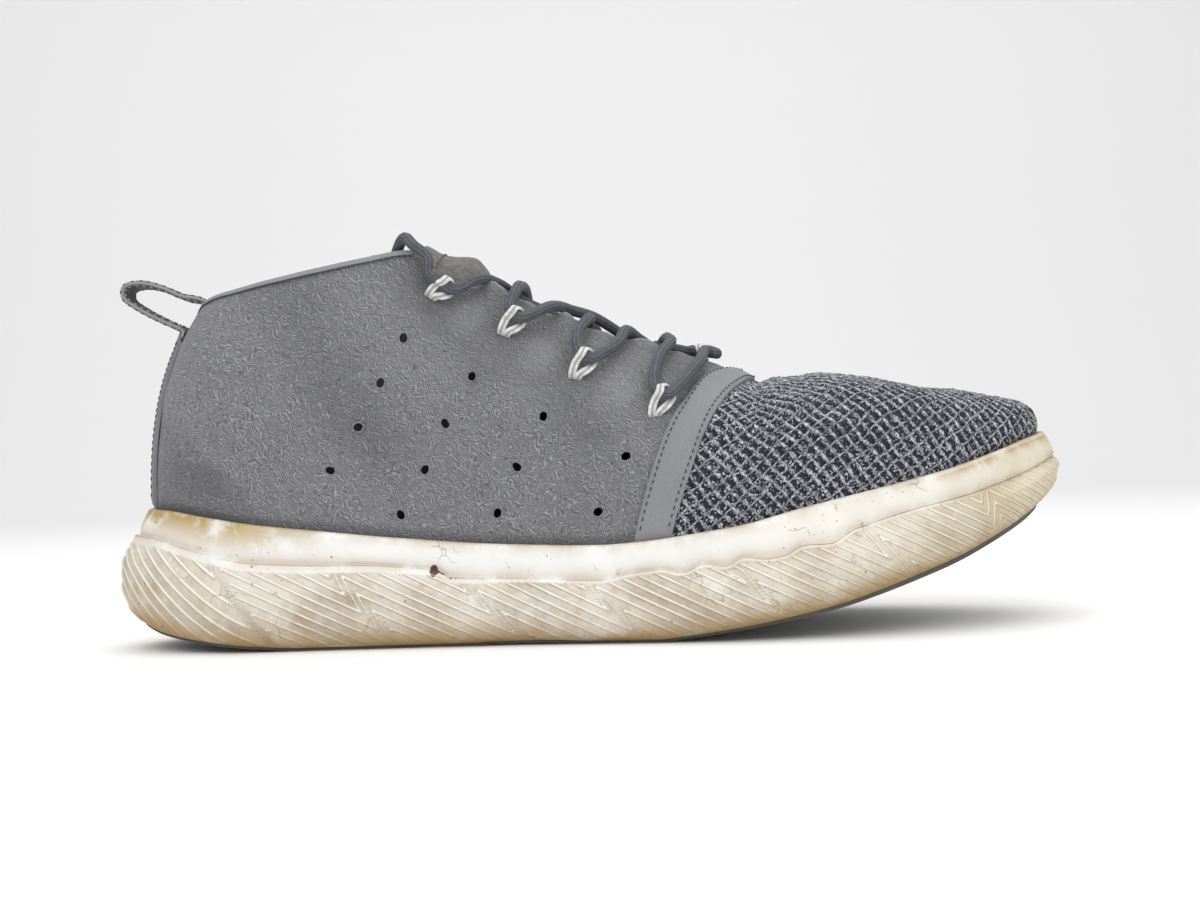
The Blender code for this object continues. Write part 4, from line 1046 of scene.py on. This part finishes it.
def add_stitches(name, spots, length, lift):
    """Stitches over the upper along a list of (side, station, share) spots."""
    side, s, v = np.array(spots, float).T
    ends = above_all(side, s, v, lift)
    up = unit(above_all(side, s, v, lift + 0.001) - ends)
    add_piece(name, stitch_mesh(name, ends, up, length), THREAD, "band")


# Share of the section where an overlay is tucked in behind the rand
TUCK = RAND_ROW * 0.72


def build_band():
    rows = []
    for side, shares in ((-1, np.linspace(TUCK, 1, 64)), (1, np.linspace(1, TUCK, 64)[1:])):
        for v in shares:
            rows.append([(side, float(band_line(side, v, k / 13)), v) for k in range(14)])
    add_piece("band_skin", strip_mesh("band_skin", rows, BAND_THICK, 0.5), BAND, "band", "vamp_band")
    spots = [
        (side, float(band_line(side, v, share)), v)
        for side in (-1, 1) for share in (0.12, 0.88) for v in np.linspace(0.125, 1.0, 76)
    ]
    add_stitches("band_stitches", spots, 0.0013, OVERLAY_GAP + BAND_THICK)


def build_stay():
    rows = []
    for v in np.linspace(TUCK, STAY_TOP, 56):
        rows.append([(-1 if k < 0 else 1, abs(k) / 5 * STAY_REACH, v) for k in range(-5, 6)])
    add_piece("heel_strip", strip_mesh("heel_strip", rows, STAY_THICK), BAND, "band", "heel_stay")
    spots = [(side, STAY_REACH * 0.78, v) for side in (-1, 1) for v in np.linspace(0.13, STAY_TOP - 0.01, 50)]
    add_stitches("heel_strip_stitches", spots, 0.0014, OVERLAY_GAP + STAY_THICK)


def build_topline():
    """Narrow strip turned over the collar's edge, with its stitches just below."""
    stations = [(-1, s) for s in np.linspace(THROAT_TOP, 0.004, 110)]
    stations += [(1, s) for s in np.linspace(0.0, THROAT_TOP, 110)]
    rows = [[(side, s, v) for v in (0.976, 0.981, 0.987, 0.993, 0.999)] for side, s in stations]
    add_piece("topline", strip_mesh("topline", rows, 0.00035, 0.5, 0.0001, 0.00035), COLLAR, "band")
    add_stitches("topline_stitches", [(side, s, 0.971) for side, s in stations], 0.0015, 0.0004)


# Tongue

def tongue_top(s, w):
    """The tongue's upper face at a station, from its lateral edge at w -1 to its medial edge at 1."""
    under = WALL + TONGUE_CLEAR
    flat = above(-1, s, 1.0, -under).lerp(above(1, s, 1.0, -under), (w + 1) / 2)
    rise = TONGUE_BULGE * float(through(TONGUE_RISE, s))
    rise += under * min(1.0, max(0.0, (THROAT_END - s) / 0.06))
    return flat + DECK_NORMAL * rise * (1 - w * w)


def build_tongue():
    under = WALL + TONGUE_CLEAR
    rings = []
    flanks = (0.84, 0.88, 0.92, 0.96)
    for s in np.linspace(THROAT_TOP + 0.008, 0.607, 112):
        outer = [above(-1, s, v, -under) for v in flanks]
        outer += [tongue_top(s, w) for w in np.linspace(-1, 1, 29)]
        outer += [above(1, s, v, -under) for v in flanks[::-1]]
        inner = [
            p - DECK_NORMAL * TONGUE_THICK + Vector((0, -0.35 * p.y * TONGUE_THICK / 0.02, 0)) for p in outer
        ]
        rings.append(outer + inner[::-1])
    first = rings[0]
    count = len(first)
    back = Vector((-0.0012, 0, 0.0004))
    cap = [first[k].lerp(first[count - 1 - k], 0.28) + back for k in range(count)]
    points = [[list(p) for p in ring] for ring in [cap] + rings]
    mesh = mesh_of("tongue_pad", points, sleeve_faces(len(points), count), sharp=70)
    piece = add_piece("tongue_pad", mesh, TONGUE, "tongue", "tongue")
    line = np.array([tongue_top(0.350, w) + DECK_NORMAL * 0.0002 for w in np.linspace(-0.9, 0.9, 34)])
    outs = np.tile(np.array(DECK_NORMAL), (len(line), 1))
    mesh = stitch_mesh("tongue_stitches", line, outs, 0.0015, 0.0005)
    add_piece("tongue_stitches", mesh, THREAD, "tongue")


def build_insole():
    stations = np.array([0.5 * t + 0.25 * (1 - math.cos(math.pi * t)) for t in np.linspace(0, 1, 90)])
    rings = []
    for inset, lift in ((0.0, 0.0), (0.0, 0.8), (0.0006, 0.97), (0.0014, 1.0)):
        ring = []
        for side, order in ((-1, stations[:-1]), (1, stations[:0:-1])):
            flat = inset_point(side, order, upper_inset(order) + WALL + 3 * GAP + inset)
            z = rand_z(flat[:, 0]) - RAND_CUP + GAP + INSOLE_THICK * lift
            ring += [(x - HEEL_REST, y, h) for (x, y), h in zip(flat, z)]
        rings.append(ring)
    mesh = mesh_of("insole_sheet", rings, sole_faces(len(rings), len(rings[0])), sharp=50)
    add_piece("insole_sheet", mesh, INSOLE, "insole", "insole")


# Midsole

# Where the zigzag strips between the ribbed panels start at the top and end at the tread, in mm from the
# heel end
ZIGZAGS = {
    -1: ((32, 52), (68, 90), (108, 129), (145, 164), (187, 207), (226, 244), (265, 271)),
    1: ((33, 54), (75, 93), (116, 134), (153, 171), (190, 208), (227, 244), (264, 271)),
}
ZIGZAG_WIDTH = 3.7      # mm
ZIGZAG_JUMP = 2.7       # ribs by which a strip moves the next panel
RIB_PITCH = 3.0         # mm
RIB_SLOPE = 0.48
HEEL_PITCH = 4.6        # mm, of the curved ribs behind the first strip
RIB_RISE = 0.0006
TOE_FULL = 0.0024       # how far the foam stands out more at the toe
# Split in the step: middle from the heel end, half width and half height in mm
CRACK = (102.0, 1.5, 2.2)
FOAM_COLUMNS = 470
FOAM_ROWS = 74
# Ribbed wall: share of its height, and how far inside the widest line, as a share of OUTSOLE_INSET
WALL_PROFILE = (
    (0.0, 0.90), (0.05, 0.62), (0.14, 0.34), (0.38, 0.02), (0.66, 0.06), (0.90, 0.46), (1.0, 0.62),
)
RIM_INSET = 0.90 * OUTSOLE_INSET
RIM_WALL = 0.0008


def rim_low(x):
    """How far the foam's lower rim stays over the ground side of the tread."""
    return 0.0009 + 0.0008 * smoothstep(0.60, 0.85, x / LENGTH)


def rib_phase(side, x, z, high, low):
    """A field whose whole values are the ribs: slanting lines joined through steep zigzag strips. In mm."""
    drop = np.clip((high - z) / np.maximum(high - low, 1.0), 0, 1)
    phase = (z + RIB_SLOPE * x) / RIB_PITCH
    heel = (z + 1.5 * x - 0.011 * x * x) / HEEL_PITCH + 0.25
    for k, (top, foot) in enumerate(ZIGZAGS[side]):
        past = np.clip((x - top - (foot - top) * drop) / ZIGZAG_WIDTH, 0, 1)
        if k == 0:
            phase = heel + (phase - heel) * past
        phase = phase - ZIGZAG_JUMP * past
    return phase


def build_midsole():
    count = FOAM_COLUMNS
    shares = np.linspace(0, 1, count + 1)
    stations = 0.62 * shares + 0.19 * (1 - np.cos(np.pi * shares))
    side = np.concatenate([np.full(count, -1), np.full(count, 1)])
    s = np.concatenate([stations[:-1], stations[:0:-1]])
    layers, tags = [], {key: [] for key in ("phase", "ribs", "dirt", "ochre", "yellow", "crack", "low")}

    def place(inset):
        halves = ((-1, slice(0, count)), (1, slice(count, None)))
        return np.concatenate([inset_point(one, s[half], inset[half]) for one, half in halves])

    def add(inset, z, phase=0.5, ribs=0.0, dirt=0.0, ochre=0.0, toe_dirt=0.0, low=0.0):
        flat = place(inset + 0.0 * s)
        x = flat[:, 0]
        z = z(x) if callable(z) else z
        layers.append(np.stack([x - HEEL_REST, flat[:, 1], z], -1))
        yellow = 0.42 * smoothstep(0.240, 0.292, x) + 0.22 * smoothstep(0.15, 0.25, x)
        yellow += 0.10 * smoothstep(0.06, 0.0, x)
        stain = ochre * smoothstep(0.080, 0.035, x)
        grime = np.clip(dirt + toe_dirt * smoothstep(0.225, 0.275, x), 0, 1)
        for key, value in zip(tags, (phase, ribs, grime, stain, yellow, crack_near(x, z), low)):
            tags[key].append(value + 0.0 * s)

    def step(x):
        return np.where(side < 0, step_z(-1, x), step_z(1, x))

    def crack_near(x, z):
        middle, wide, tall = CRACK
        past, over = x * 1000 - middle, (z - step(x)) * 1000
        away = np.hypot(past / wide, over / tall)
        tail = (x * 1000 > middle) * np.exp(-(over / 0.45) ** 2) * smoothstep(16, 2, past)
        return (side < 0) * np.maximum(smoothstep(1.3, 0.3, away), 0.62 * tail)

    at_toe = smoothstep(0.92, 0.99, s)
    recess = RIM_INSET + RIM_WALL
    add(recess, lambda x: tread_z(x) + OUTSOLE_THICK + GAP, dirt=1.0)
    add(recess, lambda x: tread_z(x) + rim_low(x), dirt=1.0, low=1.0)
    for q in np.linspace(0, 1, FOAM_ROWS):
        share = float(through(WALL_PROFILE, q))
        inset = share * OUTSOLE_INSET + 0.0002 - TOE_FULL * at_toe * smoothstep(0.40, 0.95, q)
        # The first turn finds the ribs and lifts them, the second follows the moved wall
        for turn in range(2):
            x = place(inset)[:, 0]
            low = tread_z(x) + rim_low(x)
            high = step(x)
            z = low + (high - low) * q
            phases = [rib_phase(one, x * 1000, z * 1000, high * 1000, low * 1000) for one in (-1, 1)]
            phase = np.where(side < 0, *phases)
            bare = 0.0026 - 0.0018 * smoothstep(0.05, 0.16, x)
            ribs = smoothstep(bare * 0.6, bare, high - z) * smoothstep(0.0004, 0.0011, z - low)
            crest = smoothstep(0.20, 0.07, from_whole(phase)) * ribs
            if turn == 0:
                inset = inset - RIB_RISE * crest * (1 - 0.8 * smoothstep(0.93, 1.0, s))
        crack = crack_near(x, z)
        dirt = 0.17 + 0.50 * smoothstep(0.60, 0.0, q) + 0.20 * smoothstep(0.9, 1.0, q)
        add(inset + 0.0005 * (crack > 0.8), z, phase, ribs, dirt, low=smoothstep(0.28, 0.0, q))

    inner = upper_inset(s) - GAP
    outer = inner - RAND_THICK
    foot = np.minimum(WALL_TOP_INSET * OUTSOLE_INSET + STEP_OUT, outer) - TOE_FULL * at_toe
    add(0.62 * OUTSOLE_INSET + 0.0005 - TOE_FULL * at_toe, lambda x: step(x) + 0.0002, dirt=0.95)
    add(foot - 0.0002, lambda x: step(x) + 0.0003, dirt=0.6)
    for t in np.linspace(0, 1, 13):
        inset = foot + (outer - foot) * t - 0.0004 * math.sin(math.pi * t) + 0.0003 * (1 - t) ** 6
        z = lambda x, t=t: step(x) + 0.0007 + (rand_z(x) - RAND_THICK / 2 - step(x) - 0.0007) * t
        add(inset, z, dirt=0.07 + 0.42 * (1 - t) ** 5 + 0.32 * t**6, ochre=t, toe_dirt=0.65 * t**3)
    # The rounded lip over the top of the rand: way in and height as shares of its thickness, and dirt
    lip = ((0.10, 0.24, 0.5), (0.28, 0.42, 0.7), (0.55, 0.5, 0.8), (0.82, 0.40, 0.9), (1.0, 0.2, 1.0))
    for back, up, dirt in lip:
        z = lambda x, up=up: rand_z(x) - RAND_THICK / 2 + RAND_THICK * up
        add(outer + RAND_THICK * back, z, dirt=dirt, ochre=1.0)
    add(inner, lambda x: rand_z(x) - RAND_CUP, dirt=0.8)
    faces = sole_faces(len(layers), 2 * count)
    tags = {key: np.array(rows) for key, rows in tags.items()}
    mesh = mesh_of("midsole_foam", np.array(layers), faces, tags, sharp=70)
    add_piece("midsole_foam", mesh, MIDSOLE, "midsole", "midsole")


# Outsole

LUG_PITCH = 0.0052
LUG_SLANT = 0.55
LUG_DEPTH = 0.0016
TREAD_GRID = (500, 76)


def build_outsole():
    rows, columns = TREAD_GRID
    even = np.linspace(0, 1, rows)
    s = 0.75 * even + 0.125 * (1 - np.cos(np.pi * even))
    w = np.linspace(-1, 1, columns)
    edge = RIM_INSET + RIM_WALL + 0.0002 + 0 * s
    left, right = inset_point(-1, s, edge), inset_point(1, s, edge)
    flat = left[:, None] + (right - left)[:, None] * ((w + 1) / 2)[None, :, None]
    middle = (left + right)[:, None] / 2
    x, away = flat[..., 0], np.abs(flat[..., 1] - middle[..., 1])
    lugs = from_whole((x + LUG_SLANT * away) / LUG_PITCH)
    groove = np.maximum(smoothstep(0.33, 0.41, lugs), smoothstep(0.0016, 0.0010, away) * 0.8)
    rim = np.minimum(*(np.linalg.norm(flat - one[:, None], axis=-1) for one in (left, right)))
    groove = groove * smoothstep(0.0008, 0.0022, rim)
    z = tread_z(x) + LUG_DEPTH * groove
    under = np.stack([x - HEEL_REST, flat[..., 1], z], -1)
    over = under[:, (0, -1)].copy()
    over[..., 2] = tread_z(x[:, (0, -1)]) + OUTSOLE_THICK
    under = under.reshape(-1, 3)
    faces = grid_faces(rows, columns)
    base = len(under)
    for i in range(rows - 1):
        a, b = base + 2 * i, base + 2 * i + 2
        faces.append((a, b, b + 1, a + 1))
        faces.append((i * columns, (i + 1) * columns, b, a))
        faces.append((i * columns + columns - 1, a + 1, b + 1, (i + 1) * columns + columns - 1))
    # The groove mask also gives the grooves painted shade
    tags = {"groove": np.concatenate([groove.reshape(-1), np.zeros(2 * rows)])}
    mesh = mesh_of("outsole_tread", np.concatenate([under, over.reshape(-1, 3)]), faces, tags, sharp=40)
    add_piece("outsole_tread", mesh, RUBBER, "outsole", "outsole")


# Laces and loops

# Angles round the lace, from its upper side outwards, and places along it of the cord that goes over it
LOOP_TURN = ((104, -0.0019), (60, -0.0015), (15, -0.0003), (-32, 0.0011), (-80, 0.0020))


def lace_height():
    return 2 * GAP + LOOP_CORD + LOOP_SLACK + LACE_DIAMETER / 2


def loop_forward(name):
    side, s, v = LOOPS[name]
    ends = [above(side, s + LOOP_LEAN + along, v + LOOP_REACH, lace_height()) for along in (-0.012, 0.012)]
    return (ends[1] - ends[0]).normalized()


def loop_axes(name):
    side, s, v = LOOPS[name]
    forward = loop_forward(name)
    up = forward.cross(Vector(upper_normal(side, s + LOOP_LEAN, v + LOOP_REACH))).normalized() * side
    return forward, up, up.cross(forward).normalized() * side


def loop_seat(name, along=0.0, climb=0.0):
    side, s, v = LOOPS[name]
    forward, up, _ = loop_axes(name)
    return above(side, s + LOOP_LEAN, v + LOOP_REACH, lace_height()) + forward * along + up * climb


def build_loop(name):
    """A doubled cord from its foot up over the lace on the heel's side, and back under it on the toe's."""
    side, s, v = LOOPS[name]
    seat = loop_seat(name)
    forward, up, normal = loop_axes(name)
    ring = (LACE_DIAMETER + LOOP_CORD) / 2 - LOOP_SLACK * 0.4
    foot = above(side, s, v, 0.0)
    lead = foot.lerp(seat, 0.45) + normal * 0.0016
    path = [foot - forward * 0.0009 - normal * 0.0012, foot - forward * 0.0011 + normal * 0.0009]
    path += [lead - forward * 0.0019]
    for k, lean in LOOP_TURN:
        angle = math.radians(k)
        path.append(seat + (up * math.cos(angle) + normal * math.sin(angle)) * ring + forward * lean)
    path += [foot.lerp(seat, 0.40) + forward * 0.0024 + normal * 0.0004]
    path += [foot + forward * 0.0012 + normal * 0.0007, foot + forward * 0.0009 - normal * 0.0012]
    width = LOOP_CORD * 0.58
    mesh = tube("cord_" + name, smooth_path(path, 0.0006), width, 20, 2, 0.14, 0.62, 0.0007, forward)
    add_piece("cord_" + name, mesh, CORD, "loop", "loop_" + name)


def lace_rise(name, way):
    """Points of the lace from beside a loop up to the throat's edge, and the station there."""
    side, s, v = LOOPS[name]
    s, v = s + LOOP_LEAN, v + LOOP_REACH
    edge = s + LACE_SWING[side, way]
    along, climb = LACE_TURN
    points = [loop_seat(name, LACE_STRAIGHT * way), loop_seat(name, along * way, climb)]
    if v < 0.78:
        points.append(above(side, (s + edge) / 2 + 0.010 * way, (v + 1) / 2, LACE_EDGE + GAP))
    return points + [above(side, edge, 1.0, LACE_EDGE)], edge


def lace_strand(here, leave, there, arrive, middle):
    """Points from one loop across the tongue to the next, without the middles of the loops."""
    side = LOOPS[here][0]
    rise, start = lace_rise(here, leave)
    fall, end = lace_rise(there, arrive)
    points = list(rise)
    for share in (0.25, 0.5, 0.75):
        s = start + (end - start) * share
        flat = above(side, s, 1.0, 0.0).lerp(above(-side, s, 1.0, 0.0), share)
        lift = LACE_EDGE + (middle - LACE_EDGE) * (1 - abs(2 * share - 1))
        points.append(flat + DECK_NORMAL * lift)
    return points + fall[::-1]


def lace_tube(name, path):
    return tube(name, path, LACE_DIAMETER / 2 * 0.97, 32, 9, 0.035)


def build_laces():
    first, leave_first = LACE_RUN[0]
    last, leave_last = LACE_RUN[-1]
    path = [loop_seat(first, -LACE_STUB * leave_first), loop_seat(first)]
    for k, ((here, leave), (there, _)) in enumerate(zip(LACE_RUN, LACE_RUN[1:])):
        arrive = 1 if (leave < 0 or here == "medial_1") else -1
        path += lace_strand(here, leave, there, arrive, LACE_MIDDLE[k])
        path.append(loop_seat(there))
    path.append(loop_seat(last, LACE_STUB * leave_last))
    mesh = lace_tube("lace_main", smooth_path(path, 0.0012))
    add_piece("lace_main", mesh, LACE, "lace", "lace_crossings")
    for label, loop, points, side in (("lateral", first, END_LATERAL, -1), ("medial", last, END_MEDIAL, 1)):
        stub = loop_seat(loop, -LACE_STUB)
        away = -loop_forward(loop)
        line = [stub - away * 0.0004, stub + away * 0.002]
        for s, v, lift in points:
            spot = above(side, s, min(v, 1.0), lift)
            spot.z += max(v - 1.0, 0.0) * COLLAR_RISE
            line.append(spot)
        route = smooth_path(line, 0.0012)
        mesh = lace_tube("lace_free_" + label, route)
        end = add_piece("lace_free_" + label, mesh, LACE, "lace", "lace_end_" + label)


# Pull tab

def build_tab():
    top = above(-1, 0.0, 1.0, 0.0)
    foot = [above(-1, 0.0, v, OVERLAY_GAP + TAB_THICK / 2) for v in (0.832, 0.858)]
    middle = smooth_path(foot + [top + Vector((x, 0, z)) * TAB_REACH for x, z in TAB_LINE], 0.0012)
    wide = np.linspace(-1, 1, 13)
    # Lines of stitches on each face of the strap, by face and place across it, with the directions out of it
    rings, ups, seams = [], [], {(face, w): [] for face in (-1, 1) for w in (-0.86, 0.86)}

    def edge_drop(w):
        """How far the strap's face is rounded down, as a share of its thickness."""
        return 0.42 * max(0.0, (abs(w) - 0.8) / 0.2) ** 2

    def fixed(v, near, far):
        spots = [(-1 if w < 0 else 1, abs(w) * STAY_REACH * 0.86, v) for w in wide]
        drops = [edge_drop(w) for w in wide]
        thick = far - near
        rings.append(
            [above(*spot, near + thick * d) for spot, d in zip(spots, drops)]
            + [above(*spot, far - thick * d) for spot, d in reversed(list(zip(spots, drops)))]
        )

    for v in (0.78, 0.80, 0.82):
        fixed(v, 0.0002, OVERLAY_GAP + TAB_THICK)
    for i, p in enumerate(middle):
        before = middle[i - 1] if i else above(-1, 0.0, 0.82, OVERLAY_GAP + TAB_THICK / 2)
        after = middle[i + 1] if i + 1 < len(middle) else above(-1, 0.0, 0.95, -WALL - 2 * OVERLAY_GAP)
        along = (after - before).normalized()
        near = Vector((along.z, 0, -along.x)) * TAB_THICK / 2
        curl = (2 * i / (len(middle) - 1) - 1) ** 2 * TAB_CURL
        bent = [Vector((curl * w * w, w * TAB_WIDTH / 2, 0)) for w in wide]
        drops = [1 - 2 * edge_drop(w) for w in wide]
        for (face, w), line in seams.items():
            line.append(p + near * face * 1.05 + Vector((curl * w * w, w * TAB_WIDTH / 2, 0)))
            ups.append(near.normalized())
        rings.append(
            [p + near * d + shift for shift, d in zip(bent, drops)]
            + [p - near * d + shift for shift, d in reversed(list(zip(bent, drops)))]
        )
    for v in (0.95, 0.92, 0.89, 0.85, 0.82):
        fixed(v, -WALL - 2 * OVERLAY_GAP, -WALL - 2 * OVERLAY_GAP - TAB_THICK)
    points = [[list(p) for p in ring] for ring in rings]
    faces = sleeve_faces(len(points), len(points[0]))
    # The inner face is marked for painted shade
    inner = np.tile(np.repeat((1.0, 0.0), len(wide)), (len(rings), 1))
    edge = np.interp(np.abs(wide), (0.70, 1.0), (0.0, 1.0))
    tags = {"inner": inner, "edge": np.tile(np.concatenate([edge, edge[::-1]]), (len(rings), 1))}
    add_piece("tab_strap", mesh_of("tab_strap", points, faces, tags, sharp=75), TAB, "tab", "pull_tab")
    ups = np.array(ups[::len(seams)])
    for name, first, length, material in (("dark", 0, 0.0014, THREAD), ("pale", 1, 0.0009, PALE_THREAD)):
        span = slice(first, first + (len(middle) - first) // 2 * 2)
        ends = np.concatenate([np.array(line)[span] for line in seams.values()])
        outs = np.concatenate([ups[span] * face for face, _ in seams])
        mesh = stitch_mesh("tab_stitches_" + name, ends, outs, length)
        add_piece("tab_stitches_" + name, mesh, material, "tab")


# Stage

def build_stage():
    """White paper that curves up behind the shoe, and soft lights round it."""
    width, depth, bend = 3.0, 1.3, 0.6
    profile = [(-3.0, 0.0), (depth, 0.0)]
    for k in range(1, 13):
        angle = math.pi / 2 * k / 12
        profile.append((depth + bend * math.sin(angle), bend * (1 - math.cos(angle))))
    profile.append((depth + bend, 3.0))
    points = [(x, y, z - 0.0001) for y, z in profile for x in (-width, width)]
    mesh = mesh_of("floor", points, grid_faces(len(profile), 2))
    floor = bpy.data.objects.new("floor", mesh)
    mesh.materials.append(new_material("floor_paper", (0.93, 0.93, 0.93), 0.9))
    bpy.context.scene.collection.objects.link(floor)
    aim = Vector((0.07, 0, 0.05))
    for name, place, size, power in (
        ("key", (-0.35, -1.1, 1.15), 1.3, 12),
        ("fill", (0.9, -0.9, 0.6), 1.3, 5),
        ("top", (0.1, 0.3, 1.5), 1.5, 10),
    ):
        light = bpy.data.lights.new(name, "AREA")
        light.energy = power
        light.size = size
        lamp = bpy.data.objects.new(name, light)
        lamp.location = place
        lamp.rotation_euler = (aim - Vector(place)).to_track_quat("-Z", "Y").to_euler()
        bpy.context.scene.collection.objects.link(lamp)
    world = bpy.data.worlds.new("studio")
    world.use_nodes = True
    world.node_tree.nodes["Background"].inputs["Color"].default_value = (1, 1, 1, 1)
    world.node_tree.nodes["Background"].inputs["Strength"].default_value = 0.58
    bpy.context.scene.world = world
    bpy.context.scene.view_settings.view_transform = "Standard"


def build_camera():
    """The photograph's view: level, 0.55 m off, rolled so that the toe stands two degrees up."""
    photo_width, pixels_per_mm, distance, sensor = 1200, 3.125, 550, 36
    camera = bpy.data.cameras.new("camera")
    camera.sensor_width = sensor
    camera.lens = pixels_per_mm * distance / photo_width * sensor
    camera.shift_x = 10 / photo_width
    camera.shift_y = 3 / photo_width
    camera.clip_start = 0.01
    rig = bpy.data.objects.new("camera", camera)
    turn = Matrix.Rotation(math.radians(90), 4, "X") @ Matrix.Rotation(math.radians(-2), 4, "Z")
    rig.matrix_world = Matrix.Translation((0.150 - HEEL_REST, -distance / 1000, 0.0567)) @ turn
    bpy.context.scene.collection.objects.link(rig)
    bpy.context.scene.camera = rig


build_camera()
build_stage()
build_laces()
for loop_name in LOOPS:
    build_loop(loop_name)
build_suede()
build_knit()
build_band()
build_stay()
build_topline()
build_tongue()
build_insole()
build_midsole()
build_outsole()
build_tab()
